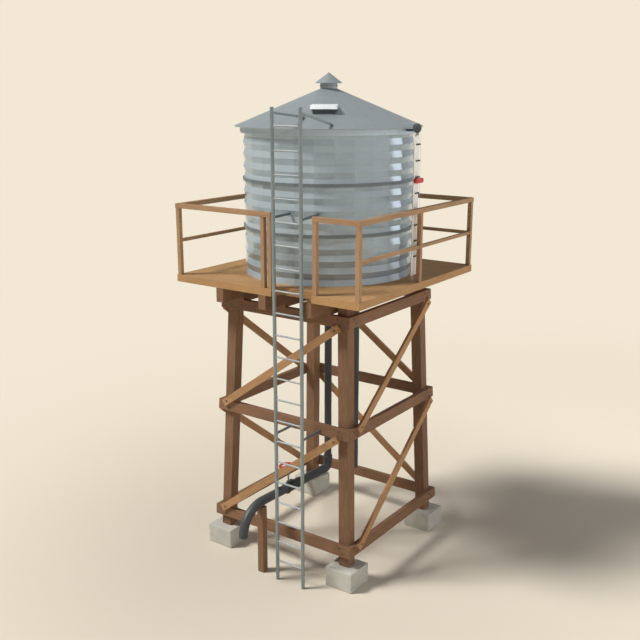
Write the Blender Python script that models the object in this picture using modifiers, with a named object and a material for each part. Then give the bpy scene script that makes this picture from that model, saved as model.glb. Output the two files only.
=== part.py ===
"""Timber water tower with a corrugated tank, a plank deck, a ladder, an outlet valve and a level gauge.

The front (-Y) is the ladder's side. The origin is on the ground, under the middle of the tank.
"""

import math

import bmesh
import bpy
from mathutils import Matrix, Vector

# Gap between touching pieces
GAP = 0.0003

# Deck and its notch for the ladder
DECK_HALF = 1.54
DECK_TOP = 4.20
DECK_THICKNESS = 0.10
NOTCH_LEFT = 0.16
NOTCH_RIGHT = 0.81
NOTCH_DEPTH = 0.17

# Footings and legs
FOOTING_CENTRE = 1.092
FOOTING_WIDTH = 0.436
FOOTING_HEIGHT = 0.287
LEG_WIDTH = 0.16

# Girts, which lie on the legs' battered outer faces
CAP_TOP = 3.856
GIRT_HEIGHT = 0.156
GIRT_THICKNESS = 0.07
MIDDLE_GIRT_TOP = 2.31
BOTTOM_GIRT_TOP = 0.62
CAP_HALF = 1.1031
BATTER = 0.0365

# Diagonal braces: low and high end of the centre line, across the face and up
BRACE_WIDTH = 0.105
BRACE_THICKNESS = 0.04
FRONT_BRACES = (((-1.04, 2.268), (0.955, 3.708)), ((-1.075, 0.595), (0.99, 2.17)))
OTHER_BRACES = (((-0.967, 2.262), (1.008, 3.700)), ((-1.033, 0.562), (1.063, 2.149)))

# Joists
JOIST_X = (-0.745, 0.0, 0.745)
JOIST_WIDTH = 0.125
JOIST_END_BOTTOM = 3.90

# Railings
POST_WIDTH = 0.06
POST_LINE = 1.50
RAIL_TOP = DECK_TOP + 1.006
RAIL_HEIGHT = 0.065
MID_RAIL_CENTRE = DECK_TOP + 0.486
MID_RAIL_HEIGHT = 0.046

# Tank: a ring of flat zigzag facets
TANK_SIDES = 28
CREST_RADIUS = 1.203
VALLEY_RADIUS = 1.181
WALL_THICKNESS = 0.008
TANK_HEIGHT = 2.0
CORRUGATIONS = 12
WALL_SEGMENTS = ("front_right", "back_right", "back_left", "front_left")
HOOP_HEIGHT = 0.045
HOOP_THICKNESS = 0.012
HOOP_CRESTS = (4, 8)

# Roof: corner radius and height of the eaves, and the height of the point
EAVE_RADIUS = 1.3185
EAVE_HEIGHT = 6.254
ROOF_POINT = 6.80
ROOF_THICKNESS = 0.010
ROOF_HOLE = 0.10
NECK_BAND_RADIUS = 1.24
NECK_BAND_BOTTOM = 0.038
NECK_BAND_CHAMFER = 0.027

# Vent cowl
NECK_RADIUS = 0.119
COWL_RADIUS = 0.1875
COWL_EAVE = 6.83
COWL_POINT = 6.97

# Hatch: a level lid on a curb that stands on the roof's front, given by distances from the roof's middle
HATCH_TURN = 59.4
CURB_NEAR = 0.635
CURB_FAR = 0.872
CURB_TOP = 6.534
CURB_WIDTH = 0.292
CURB_THICKNESS = 0.02
LID_FAR = 0.914
LID_WIDTH = 0.352
LID_BOTTOM = 6.491
LID_SHEET = 0.006
LID_CLEAR = 0.005
LID_OVER_ROOF = 0.008
HINGE_RADIUS = 0.008

# Ladder
LADDER_X = (0.237, 0.680)
LADDER_Y = -1.572
STILE_RADIUS = 0.025
LADDER_TOP = 6.53
RUNG_RADIUS = 0.0125
RUNG_PITCH = 0.30
RUNG_COUNT = 21
STAY_RADIUS = 0.015
STAY_FOOT_Y = -0.92

# Outlet pipe, valve and discharge pipe, in an upright plane a little off the tower's middle line
OUTLET_TURN = -3.2
PIPE_RADIUS = 0.065
RISER_RADIUS = 0.0545
PIPE_WALL = 0.006
RUN_HEIGHT = 1.092
RISER_SIDESTEP = -0.125
ELBOW_RADIUS = 0.09
VALVE_OUT = 0.934
VALVE_NEAR = 0.67
VALVE_FAR = 0.992
BARREL_RADIUS = 0.073
FLANGE_RADIUS = 0.083
FLANGE_THICKNESS = 0.026
BONNET_TOP = 1.192
WHEEL_HEIGHT = 1.418
WHEEL_RADIUS = 0.125
RIM_RADIUS = 0.016
SWEEP_START = 1.50
SWEEP_RADIUS = 0.405
SUPPORT_POST_X = -0.078
SUPPORT_POST_Y = -1.52
SUPPORT_POST_WIDTH = 0.10
DRAIN_X = 0.49
DRAIN_RADIUS = 0.05
DRAIN_END = 1.22

# Level gauge, on the right
BOARD_FACE = 1.420
BOARD_THICKNESS = 0.018
BOARD_HALF_WIDTH = 0.065
BOARD_BOTTOM = 4.285
BOARD_TOP = 6.14
PULLEY_X = 1.415
PULLEY_Z = 6.25
PULLEY_RADIUS = 0.063
GROOVE_RADIUS = 0.058
PULLEY_THICKNESS = 0.02
WIRE_RADIUS = 0.002
MARKER_Z = 5.568
MARKER_HALF_WIDTH = 0.098
MARKER_HALF_HEIGHT = 0.033


def start_scene():
    """Empty the scene and return the collections for the tower and for its cutting shapes."""
    for item in list(bpy.data.objects):
        bpy.data.objects.remove(item, do_unlink=True)
    tower = bpy.data.collections.new("water_tower")
    helpers = bpy.data.collections.new("cutters")
    bpy.context.scene.collection.children.link(tower)
    bpy.context.scene.collection.children.link(helpers)
    return tower, helpers


TOWER, CUTTERS = start_scene()


def material(name, red, green, blue, roughness, metallic=0.0):
    """Return a Principled material with these values."""
    made = bpy.data.materials.new(name)
    made.use_nodes = True
    shader = made.node_tree.nodes["Principled BSDF"]
    shader.inputs["Base Color"].default_value = (red, green, blue, 1.0)
    shader.inputs["Roughness"].default_value = roughness
    shader.inputs["Metallic"].default_value = metallic
    return made


CONCRETE = material("concrete", 0.55, 0.53, 0.47, 0.9)
DARK_TIMBER = material("dark_timber", 0.16, 0.08, 0.045, 0.75)
LIGHT_TIMBER = material("light_timber", 0.40, 0.22, 0.10, 0.7)
DECK_TIMBER = material("deck_timber", 0.47, 0.26, 0.11, 0.7)
GALVANISED = material("galvanised_steel", 0.42, 0.46, 0.47, 0.4, 1.0)
PIPE_PLASTIC = material("pipe_plastic", 0.03, 0.035, 0.04, 0.4)
RED_PAINT = material("red_paint", 0.60, 0.03, 0.025, 0.4)
WHITE_PAINT = material("white_paint", 0.80, 0.80, 0.76, 0.5)
DARK_STEEL = material("dark_steel", 0.05, 0.06, 0.065, 0.5, 1.0)


def add_object(name, bm, surface, collection=None):
    """Turn a bmesh into an object with outward normals."""
    bmesh.ops.recalc_face_normals(bm, faces=bm.faces)
    mesh = bpy.data.meshes.new(name)
    bm.to_mesh(mesh)
    bm.free()
    made = bpy.data.objects.new(name, mesh)
    made.data.materials.append(surface)
    (collection or TOWER).objects.link(made)
    if collection is CUTTERS:
        made.hide_render = True
        made.display_type = "WIRE"
    return made


def box(name, low, high, surface, collection=None):
    """A box between two corners."""
    size = Vector(high) - Vector(low)
    middle = (Vector(high) + Vector(low)) / 2
    bm = bmesh.new()
    bmesh.ops.create_cube(bm, size=1.0, matrix=Matrix.Translation(middle) @ Matrix.Diagonal((*size, 1.0)))
    return add_object(name, bm, surface, collection)


def rod(name, start, end, radius, surface, sides=12, collection=None):
    """A round bar between two points."""
    start = Vector(start)
    along = Vector(end) - start
    turn = along.to_track_quat("Z", "Y").to_matrix().to_4x4()
    place = Matrix.Translation(start + along / 2) @ turn
    bm = bmesh.new()
    bmesh.ops.create_cone(
        bm, cap_ends=True, segments=sides, radius1=radius, radius2=radius, depth=along.length, matrix=place
    )
    return add_object(name, bm, surface, collection)


def cube_by_corner(name, corner, surface):
    """A six-sided piece whose corners come from a function of three signs."""
    bm = bmesh.new()
    bmesh.ops.create_cube(bm, size=2.0)
    for vertex in bm.verts:
        vertex.co = corner(*vertex.co)
    return add_object(name, bm, surface)


def combine(target, pieces, operation):
    """Join pieces to the target, or cut them out of it, with one exact Boolean."""
    group = bpy.data.collections.new(f"{target.name}_{operation.lower()}")
    CUTTERS.children.link(group)
    for piece in pieces:
        for owner in list(piece.users_collection):
            owner.objects.unlink(piece)
        group.objects.link(piece)
        piece.hide_render = True
        piece.display_type = "WIRE"
    change = target.modifiers.new(operation.lower(), "BOOLEAN")
    change.operation = operation
    change.operand_type = "COLLECTION"
    change.collection = group
    change.solver = "EXACT"
    return target


def turned(name, profile, surface, steps=TANK_SIDES, collection=None):
    """A ring turned about Z from a profile that runs down its outer side, top to bottom."""
    bm = bmesh.new()
    vertices = [bm.verts.new((radius, 0.0, height)) for radius, height in profile]
    closed = all(radius > 0 for radius, _ in profile)
    for first, second in zip(vertices, vertices[1:] + vertices[:1] if closed else vertices[1:]):
        bm.edges.new((first, second))
    mesh = bpy.data.meshes.new(name)
    bm.to_mesh(mesh)
    bm.free()
    made = bpy.data.objects.new(name, mesh)
    made.data.materials.append(surface)
    (collection or TOWER).objects.link(made)
    screw = made.modifiers.new("turn", "SCREW")
    screw.steps = steps
    screw.render_steps = steps
    screw.use_merge_vertices = True
    screw.merge_threshold = 0.0001
    screw.use_smooth_shade = False
    return made


def tube(name, points, radius, surface, resolution=4, wall=0.0):
    """A pipe along points, as a curve with a round bevel: a solid one, or open with this wall."""
    curve = bpy.data.curves.new(name, "CURVE")
    curve.dimensions = "3D"
    curve.bevel_depth = radius
    curve.bevel_resolution = resolution
    curve.use_fill_caps = wall == 0.0
    spline = curve.splines.new("POLY")
    spline.points.add(len(points) - 1)
    for point, place in zip(spline.points, points):
        point.co = (*place, 1.0)
    curve.materials.append(surface)
    made = bpy.data.objects.new(name, curve)
    TOWER.objects.link(made)
    if wall:
        shell = made.modifiers.new("pipe_wall", "SOLIDIFY")
        shell.thickness = wall
        shell.offset = -1.0
    return made


def arc(centre, radius, start, end, count):
    """Points (across, up) on an arc, from a start angle to an end angle in degrees."""
    for index in range(count + 1):
        angle = math.radians(start + (end - start) * index / count)
        yield centre[0] + radius * math.cos(angle), centre[1] + radius * math.sin(angle)


def quarter_turn(made, quarters):
    """Turn a piece of the front face round the tower by quarters."""
    made.rotation_euler.z = math.radians(90 * quarters)
    return made


def frame_half(height):
    """Half of the frame's width over the girts, which grows toward the ground."""
    return CAP_HALF + (CAP_TOP - height) * BATTER


def build_footings_and_legs():
    """Four concrete footings and the four battered legs on them."""
    leg_half = LEG_WIDTH / 2
    for quarters, name in enumerate(("front_left", "front_right", "back_right", "back_left")):
        footing = box(
            f"footing_{name}",
            (-FOOTING_CENTRE - FOOTING_WIDTH / 2, -FOOTING_CENTRE - FOOTING_WIDTH / 2, 0.0),
            (-FOOTING_CENTRE + FOOTING_WIDTH / 2, -FOOTING_CENTRE + FOOTING_WIDTH / 2, FOOTING_HEIGHT),
            CONCRETE,
        )
        bevel = footing.modifiers.new("worn_edges", "BEVEL")
        bevel.width = 0.012
        bevel.segments = 1
        quarter_turn(footing, quarters)

        def corner(x, y, z):
            height = DECK_TOP - DECK_THICKNESS - GAP if z > 0 else FOOTING_HEIGHT + GAP
            middle = -(frame_half(height) - GIRT_THICKNESS - GAP - leg_half)
            return middle + x * leg_half, middle + y * leg_half, height

        quarter_turn(cube_by_corner(f"leg_{name}", corner, DARK_TIMBER), quarters)


def build_girts():
    """Three rings of girts, mitred at the corners."""
    levels = (("cap", CAP_TOP), ("middle_girt", MIDDLE_GIRT_TOP), ("bottom_girt", BOTTOM_GIRT_TOP))
    for level, top in levels:

        def corner(x, y, z):
            height = top if z > 0 else top - GIRT_HEIGHT
            depth = frame_half(height) - (GIRT_THICKNESS if y > 0 else 0.0)
            return x * (depth - GAP), -depth, height

        for quarters, side in enumerate(("front", "right", "back", "left")):
            quarter_turn(cube_by_corner(f"{level}_{side}", corner, DARK_TIMBER), quarters)


def build_braces():
    """One diagonal to each bay, on the outside of the girts, rising the same way round the tower."""
    for quarters, face in enumerate(("front", "right", "back", "left")):
        pair = FRONT_BRACES if face == "front" else OTHER_BRACES
        for tier, (low, high) in zip(("upper", "lower"), pair):
            run = Vector(high) - Vector(low)
            side = Vector((-run.y, run.x)).normalized() * (BRACE_WIDTH / 2)

            def corner(x, y, z):
                end = Vector(high) if x > 0 else Vector(low)
                across, height = end + z * side
                depth = frame_half(height) + GAP + (0.0 if y > 0 else BRACE_THICKNESS)
                return across, -depth, height

            quarter_turn(cube_by_corner(f"brace_{face}_{tier}", corner, LIGHT_TIMBER), quarters)


def build_joists():
    """Joists across the caps, thinner where they overhang."""
    under_deck = DECK_TOP - DECK_THICKNESS - GAP
    seat = CAP_TOP + GAP
    shoulder = CAP_HALF + 0.01
    outline = (
        (-DECK_HALF, under_deck),
        (-DECK_HALF, JOIST_END_BOTTOM),
        (-shoulder, JOIST_END_BOTTOM),
        (-shoulder, seat),
        (shoulder, seat),
        (shoulder, JOIST_END_BOTTOM),
        (DECK_HALF, JOIST_END_BOTTOM),
        (DECK_HALF, under_deck),
    )
    for name, middle in zip(("left", "middle", "right"), JOIST_X):
        bm = bmesh.new()
        left = middle - JOIST_WIDTH / 2
        face = bm.faces.new([bm.verts.new((left, along, height)) for along, height in outline])
        grown = bmesh.ops.extrude_face_region(bm, geom=[face], use_keep_orig=True)
        moved = [item for item in grown["geom"] if isinstance(item, bmesh.types.BMVert)]
        bmesh.ops.translate(bm, vec=(JOIST_WIDTH, 0.0, 0.0), verts=moved)
        add_object(f"joist_{name}", bm, DARK_TIMBER)


def build_deck():
    """The plank deck, notched at the front for the ladder."""
    deck = box(
        "deck",
        (-DECK_HALF, -DECK_HALF, DECK_TOP - DECK_THICKNESS),
        (DECK_HALF, DECK_HALF, DECK_TOP),
        DECK_TIMBER,
    )
    notch = box(
        "deck_notch",
        (NOTCH_LEFT, -DECK_HALF - 0.1, DECK_TOP - DECK_THICKNESS - 0.1),
        (NOTCH_RIGHT, -DECK_HALF + NOTCH_DEPTH, DECK_TOP + 0.1),
        DECK_TIMBER,
    )
    combine(deck, [notch], "DIFFERENCE")


def railing(name, line, posts, ends, rails):
    """A railing along a line of the deck: line maps (along, across) to x and y."""
    half = POST_WIDTH / 2
    pieces = []
    for index, place in enumerate(posts):
        low = Vector((*line(place - half, -half), DECK_TOP + GAP))
        high = Vector((*line(place + half, half), RAIL_TOP - 0.02))
        low_corner = [min(a, b) for a, b in zip(low, high)]
        high_corner = [max(a, b) for a, b in zip(low, high)]
        pieces.append(box(f"{name}_post_{index}", low_corner, high_corner, DECK_TIMBER))
    sizes = {"top": (RAIL_TOP - RAIL_HEIGHT, RAIL_TOP, 0.035)}
    mid_low = MID_RAIL_CENTRE - MID_RAIL_HEIGHT / 2
    sizes["mid"] = (mid_low, mid_low + MID_RAIL_HEIGHT, 0.022)
    for rail in rails:
        bottom, top, half_width = sizes[rail]
        start, end = ends[rail]
        low = Vector((*line(start, -half_width), bottom))
        high = Vector((*line(end, half_width), top))
        low_corner = [min(a, b) for a, b in zip(low, high)]
        high_corner = [max(a, b) for a, b in zip(low, high)]
        pieces.append(box(f"{name}_{rail}_rail", low_corner, high_corner, DECK_TIMBER))
    joined = pieces.pop(0)
    joined.name = name
    combine(joined, pieces, "UNION")


def build_railings():
    """Side railings with the corner posts, and back and front railings between them."""
    outer = POST_LINE + 0.035
    inner = POST_LINE - 0.035 - GAP
    post_side = POST_LINE - POST_WIDTH / 2 - GAP
    for name, side in (("right", 1), ("left", -1)):
        railing(
            f"railing_{name}",
            lambda along, across, side=side: (side * POST_LINE + across, along),
            (-POST_LINE, 0.0, POST_LINE),
            {"top": (-outer, outer), "mid": (-POST_LINE, POST_LINE)},
            ("top", "mid"),
        )
    railing(
        "railing_back",
        lambda along, across: (along, POST_LINE + across),
        (0.0,),
        {"top": (-inner, inner), "mid": (-post_side, post_side)},
        ("top", "mid"),
    )
    front = lambda along, across: (along, -POST_LINE + across)
    end_post = NOTCH_LEFT - POST_WIDTH / 2
    railing("railing_front_left", front, (0.012, end_post), {"top": (-inner, NOTCH_LEFT)}, ("top",))
    start_post = NOTCH_RIGHT + POST_WIDTH / 2 + 0.01
    railing(
        "railing_front_right", front, (start_post,), {"top": (start_post - POST_WIDTH / 2, inner)}, ("top",)
    )


def build_tank():
    """Corrugated wall in four segments, the floor and two hoops."""
    base = DECK_TOP + GAP
    outer = []
    for index in range(2 * CORRUGATIONS + 1):
        radius = CREST_RADIUS if index % 2 == 0 else VALLEY_RADIUS
        outer.append((radius, base + TANK_HEIGHT * index / (2 * CORRUGATIONS)))
    section = outer + [(radius - WALL_THICKNESS, height) for radius, height in reversed(outer)]
    facets = TANK_SIDES // len(WALL_SEGMENTS)
    facet_angle = 2 * math.pi / TANK_SIDES
    joint_angle = GAP / CREST_RADIUS
    for quarter, name in enumerate(("back_right", "back_left", "front_left", "front_right")):
        start = quarter * math.pi / 2
        rings = []
        bm = bmesh.new()
        for step in range(facets + 1):
            angle = start + step * facet_angle
            angle += joint_angle if step == 0 else -joint_angle if step == facets else 0.0
            ring = [
                bm.verts.new((radius * math.cos(angle), radius * math.sin(angle), height))
                for radius, height in section
            ]
            rings.append(ring)
        for ring, following in zip(rings, rings[1:]):
            for index in range(len(section)):
                after = (index + 1) % len(section)
                bm.faces.new((ring[index], ring[after], following[after], following[index]))
        count = len(outer)
        for ring in (rings[0], rings[-1]):
            for index in range(count - 1):
                inner = 2 * count - 1 - index
                bm.faces.new((ring[index], ring[index + 1], ring[inner - 1], ring[inner]))
        add_object(f"tank_wall_{name}", bm, GALVANISED)

    floor_radius = VALLEY_RADIUS - WALL_THICKNESS - 0.004
    floor_top = base + 0.01
    turned(
        "tank_floor",
        ((0.0, floor_top), (floor_radius, floor_top), (floor_radius, base), (0.0, base)),
        GALVANISED,
    )
    for name, crest in zip(("lower", "upper"), HOOP_CRESTS):
        middle = base + TANK_HEIGHT * crest / CORRUGATIONS
        hoop_outer = CREST_RADIUS + GAP + HOOP_THICKNESS
        turned(
            f"hoop_{name}",
            (
                (hoop_outer, middle + HOOP_HEIGHT / 2),
                (hoop_outer, middle - HOOP_HEIGHT / 2),
                (CREST_RADIUS + GAP, middle - HOOP_HEIGHT / 2),
                (CREST_RADIUS + GAP, middle + HOOP_HEIGHT / 2),
            ),
            GALVANISED,
        )


def roof_height(radius):
    """Height of the roof's outer surface at a corner radius."""
    return ROOF_POINT - (ROOF_POINT - EAVE_HEIGHT) * radius / EAVE_RADIUS


def hatch_frame():
    """Matrix at the roof's middle for the hatch: X out over the roof, Y across, Z up."""
    return Matrix.Rotation(math.radians(-HATCH_TURN), 4, "Z")


def cone_below(name, rise):
    """A cutting cone whose surface is this far over the roof."""
    depth = 1.0
    bm = bmesh.new()
    bmesh.ops.create_cone(
        bm,
        cap_ends=True,
        segments=TANK_SIDES,
        radius1=depth * EAVE_RADIUS / (ROOF_POINT - EAVE_HEIGHT),
        radius2=0.0,
        depth=depth,
        matrix=Matrix.Translation((0.0, 0.0, ROOF_POINT + rise - depth / 2)),
    )
    return add_object(name, bm, GALVANISED, CUTTERS)


def build_roof():
    """Conical roof with a band round the wall's top, the vent cowl, and the hatch."""
    drop = ROOF_THICKNESS * 1.08
    seat = DECK_TOP + TANK_HEIGHT + 2 * GAP
    inside = VALLEY_RADIUS - 0.02
    wall_side = CREST_RADIUS + 2 * GAP
    roof = turned(
        "roof",
        (
            (ROOF_HOLE, roof_height(ROOF_HOLE)),
            (EAVE_RADIUS, EAVE_HEIGHT),
            (EAVE_RADIUS, EAVE_HEIGHT - 0.008),
            (NECK_BAND_RADIUS, roof_height(NECK_BAND_RADIUS) - drop),
            (NECK_BAND_RADIUS, seat - NECK_BAND_BOTTOM + NECK_BAND_CHAMFER),
            (wall_side, seat - NECK_BAND_BOTTOM),
            (wall_side, seat),
            (inside, seat),
            (inside, roof_height(inside) - drop),
            (ROOF_HOLE, roof_height(ROOF_HOLE) - drop),
        ),
        GALVANISED,
    )
    turned(
        "roof_vent",
        (
            (0.0, COWL_POINT),
            (COWL_RADIUS, COWL_EAVE),
            (COWL_RADIUS, COWL_EAVE - 0.008),
            (NECK_RADIUS, COWL_EAVE - 0.008),
            (NECK_RADIUS, roof_height(NECK_RADIUS) + GAP),
            (ROOF_HOLE, roof_height(ROOF_HOLE) + GAP),
            (0.0, roof_height(ROOF_HOLE) + GAP),
        ),
        GALVANISED,
    )

    place = hatch_frame()
    inner_half = CURB_WIDTH / 2 - CURB_THICKNESS
    inner_low = (CURB_NEAR + CURB_THICKNESS, -inner_half, CURB_TOP - 0.4)
    inner_high = (CURB_FAR - CURB_THICKNESS, inner_half, CURB_TOP + 0.2)
    hole = box("hatch_hole", inner_low, inner_high, GALVANISED, CUTTERS)
    way = box("hatch_way", inner_low, inner_high, GALVANISED, CUTTERS)
    curb_low = (CURB_NEAR, -CURB_WIDTH / 2, CURB_TOP - 0.2)
    curb = box("hatch_curb", curb_low, (CURB_FAR, CURB_WIDTH / 2, CURB_TOP), GALVANISED)
    for piece in (hole, way, curb):
        piece.matrix_world = place
    combine(roof, [hole], "DIFFERENCE")
    combine(curb, [way, cone_below("roof_under_curb", 2 * GAP)], "DIFFERENCE")
    build_lid(place)


def build_lid(place):
    """The lid: a level sheet with turned-down front and sides, hinged at its uphill edge."""
    hinge_out = CURB_NEAR + CURB_THICKNESS / 2
    hinge_up = CURB_TOP + HINGE_RADIUS + GAP
    under = CURB_TOP + LID_CLEAR
    half = LID_WIDTH / 2
    hinge = bpy.data.objects.new("hatch_hinge_axis", None)
    TOWER.objects.link(hinge)
    hinge.matrix_world = place @ Matrix.Translation((hinge_out, 0.0, hinge_up))

    def placed(name, low, high, collection=None):
        shift = Vector((hinge_out, 0.0, hinge_up))
        piece = box(name, Vector(low) - shift, Vector(high) - shift, WHITE_PAINT, collection)
        piece.matrix_world = hinge.matrix_world
        return piece

    lid = placed("hatch_lid", (hinge_out, -half, LID_BOTTOM), (LID_FAR, half, under + LID_SHEET))
    hollow = placed(
        "hatch_lid_hollow",
        (hinge_out - 0.05, -half + LID_SHEET, LID_BOTTOM - 0.05),
        (LID_FAR - LID_SHEET, half - LID_SHEET, under),
        CUTTERS,
    )
    barrel_half = CURB_WIDTH / 2 - 0.03
    barrel = rod("hatch_hinge", (0.0, -barrel_half, 0.0), (0.0, barrel_half, 0.0), HINGE_RADIUS, WHITE_PAINT)
    barrel.matrix_world = hinge.matrix_world
    combine(lid, [hollow, cone_below("roof_under_lid", LID_OVER_ROOF)], "DIFFERENCE")
    combine(lid, [barrel], "UNION")
    lid.parent = hinge
    lid.matrix_parent_inverse = hinge.matrix_world.inverted()


def build_ladder():
    """Two tube stiles with 21 rungs, standoffs to the middle girt and the tank, and stays to the roof."""
    left, right = LADDER_X
    pieces = []
    for name, stile in (("ladder", left), ("stile_right", right)):
        top = (stile, LADDER_Y, LADDER_TOP)
        pieces.append(rod(name, (stile, LADDER_Y, 0.0), top, STILE_RADIUS, GALVANISED))
    for index in range(RUNG_COUNT):
        height = RUNG_PITCH * (index + 1)
        pieces.append(
            rod(f"rung_{index}", (left, LADDER_Y, height), (right, LADDER_Y, height), RUNG_RADIUS, GALVANISED, 8)
        )
    girt_height = MIDDLE_GIRT_TOP - 0.10
    girt_face = -frame_half(girt_height) - 2 * GAP
    wall_height = DECK_TOP + GAP + TANK_HEIGHT * 6 / CORRUGATIONS
    for stile in LADDER_X:
        wall_face = max(tank_face_depth(stile + side * STAY_RADIUS, CREST_RADIUS) for side in (-1, 1))
        ends = [
            (girt_height, girt_face, girt_height),
            (wall_height, -wall_face - 2 * GAP, wall_height),
        ]
        for start_height, end_y, end_height in ends:
            pieces.append(
                rod(
                    f"standoff_{stile}_{start_height}",
                    (stile, LADDER_Y, start_height),
                    (stile, end_y, end_height),
                    STAY_RADIUS,
                    GALVANISED,
                    8,
                )
            )
        foot_height = roof_facet_height(stile, STAY_FOOT_Y)
        pieces.append(
            rod(
                f"stay_{stile}",
                (stile, LADDER_Y, LADDER_TOP - 0.07),
                (stile, STAY_FOOT_Y, foot_height + 0.018),
                STAY_RADIUS,
                GALVANISED,
                8,
            )
        )
    joined = pieces.pop(0)
    combine(joined, pieces, "UNION")


def tank_face_depth(across, radius):
    """Distance in front of the tank's middle of the flat facet at this place across."""
    facet_angle = 2 * math.pi / TANK_SIDES
    angle = math.atan2(math.sqrt(radius**2 - across**2), across)
    middle = (math.floor(angle / facet_angle) + 0.5) * facet_angle
    return (radius * math.cos(facet_angle / 2) - across * math.cos(middle)) / math.sin(middle)


def roof_facet_height(across, along):
    """Height of the roof's flat facet at a place."""
    facet_angle = 2 * math.pi / TANK_SIDES
    angle = math.atan2(along, across)
    middle = (math.floor(angle / facet_angle) + 0.5) * facet_angle
    run = across * math.cos(middle) + along * math.sin(middle)
    return roof_height(run / math.cos(facet_angle / 2))


def outlet_turn():
    """The turn of the outlet's plane about the riser."""
    return Matrix.Rotation(math.radians(OUTLET_TURN), 4, "Z")


def build_pipes():
    """Riser with the elbow, valve with its handwheel, discharge over a post, and the drain pipe."""
    top = DECK_TOP - DECK_THICKNESS - GAP
    socket = RUN_HEIGHT + ELBOW_RADIUS + 0.10
    thin = RISER_RADIUS / PIPE_RADIUS
    step = Matrix.Rotation(math.radians(-OUTLET_TURN), 4, "Z") @ Vector((RISER_SIDESTEP, 0.0, 0.0))
    route = [(step.x, step.y, top), (step.x, step.y, 3.80), (0.0, 0.0, 3.62)]
    route += [(0.0, 0.0, socket + 0.002), (0.0, 0.0, socket)]
    for along, height in arc((-ELBOW_RADIUS, RUN_HEIGHT + ELBOW_RADIUS), ELBOW_RADIUS, 0, -90, 6):
        route.append((0.0, along, height))
    route.append((0.0, -VALVE_NEAR + GAP, RUN_HEIGHT))
    outlet = tube("outlet_pipe", route, PIPE_RADIUS, PIPE_PLASTIC)
    for point in outlet.data.splines[0].points[:4]:
        point.radius = thin
    outlet.matrix_world = outlet_turn()

    end = [(0.0, -VALVE_FAR - GAP, RUN_HEIGHT)]
    for along, height in arc((-SWEEP_START, RUN_HEIGHT - SWEEP_RADIUS), SWEEP_RADIUS, 90, 180, 9):
        end.append((0.0, along, height))
    discharge = tube("discharge_pipe", end, PIPE_RADIUS, PIPE_PLASTIC, wall=PIPE_WALL)
    discharge.matrix_world = outlet_turn()
    drain = [(DRAIN_X, 0.0, top), (DRAIN_X, 0.0, DRAIN_END)]
    tube("drain_pipe", drain, DRAIN_RADIUS, PIPE_PLASTIC, wall=PIPE_WALL)

    half = SUPPORT_POST_WIDTH / 2
    reach = (half - SUPPORT_POST_Y) / math.cos(math.radians(OUTLET_TURN)) - SWEEP_START
    dip = SWEEP_RADIUS - math.sqrt(SWEEP_RADIUS**2 - reach**2) + 0.003
    box(
        "pipe_post",
        (SUPPORT_POST_X - half, SUPPORT_POST_Y - half, 0.0),
        (SUPPORT_POST_X + half, SUPPORT_POST_Y + half, RUN_HEIGHT - PIPE_RADIUS - dip - 2 * GAP),
        DARK_TIMBER,
    )
    build_valve()


def build_valve():
    """Gate valve: barrel, flange and bonnet, with the stem and handwheel as one turning piece."""
    far_end = (0.0, -VALVE_FAR, RUN_HEIGHT)
    barrel = rod("valve_body", (0.0, -VALVE_NEAR, RUN_HEIGHT), far_end, BARREL_RADIUS, PIPE_PLASTIC, 16)
    flange_near = -VALVE_FAR + 0.001
    pieces = [
        rod(
            "flange",
            (0.0, flange_near, RUN_HEIGHT),
            (0.0, flange_near + FLANGE_THICKNESS, RUN_HEIGHT),
            FLANGE_RADIUS,
            PIPE_PLASTIC,
            16,
        ),
        rod("bonnet", (0.0, -VALVE_OUT, RUN_HEIGHT), (0.0, -VALVE_OUT, BONNET_TOP), 0.03, PIPE_PLASTIC, 12),
        rod(
            "bonnet_back",
            (0.0, -VALVE_OUT + 0.07, RUN_HEIGHT),
            (0.0, -VALVE_OUT + 0.07, BONNET_TOP - 0.003),
            0.034,
            PIPE_PLASTIC,
            12,
        ),
    ]
    combine(barrel, pieces, "UNION")
    barrel.matrix_world = outlet_turn()
    for piece in pieces:
        piece.matrix_world = outlet_turn()

    stem = rod("valve_handwheel", (0, 0, BONNET_TOP + GAP - WHEEL_HEIGHT), (0, 0, 0.018), 0.012, RED_PAINT, 10)
    parts = [rod("wheel_hub", (0, 0, -0.016), (0, 0, 0.012), 0.022, RED_PAINT, 10)]
    for index in range(2):
        angle = math.pi / 2 * index + math.pi / 4
        reach = Vector((math.cos(angle), math.sin(angle), 0.0)) * WHEEL_RADIUS
        parts.append(rod(f"wheel_spoke_{index}", -reach, reach, 0.007, RED_PAINT, 6))
    rim = turned(
        "wheel_rim",
        [(WHEEL_RADIUS + RIM_RADIUS * across, RIM_RADIUS * up) for across, up in arc((0, 0), 1.0, 90, -225, 7)],
        RED_PAINT,
        24,
    )
    parts.append(rim)
    place = outlet_turn() @ Matrix.Translation((0.0, -VALVE_OUT, WHEEL_HEIGHT))
    for piece in [stem] + parts:
        piece.matrix_world = Matrix.Translation(place.translation)
    combine(stem, parts, "UNION")


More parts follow.
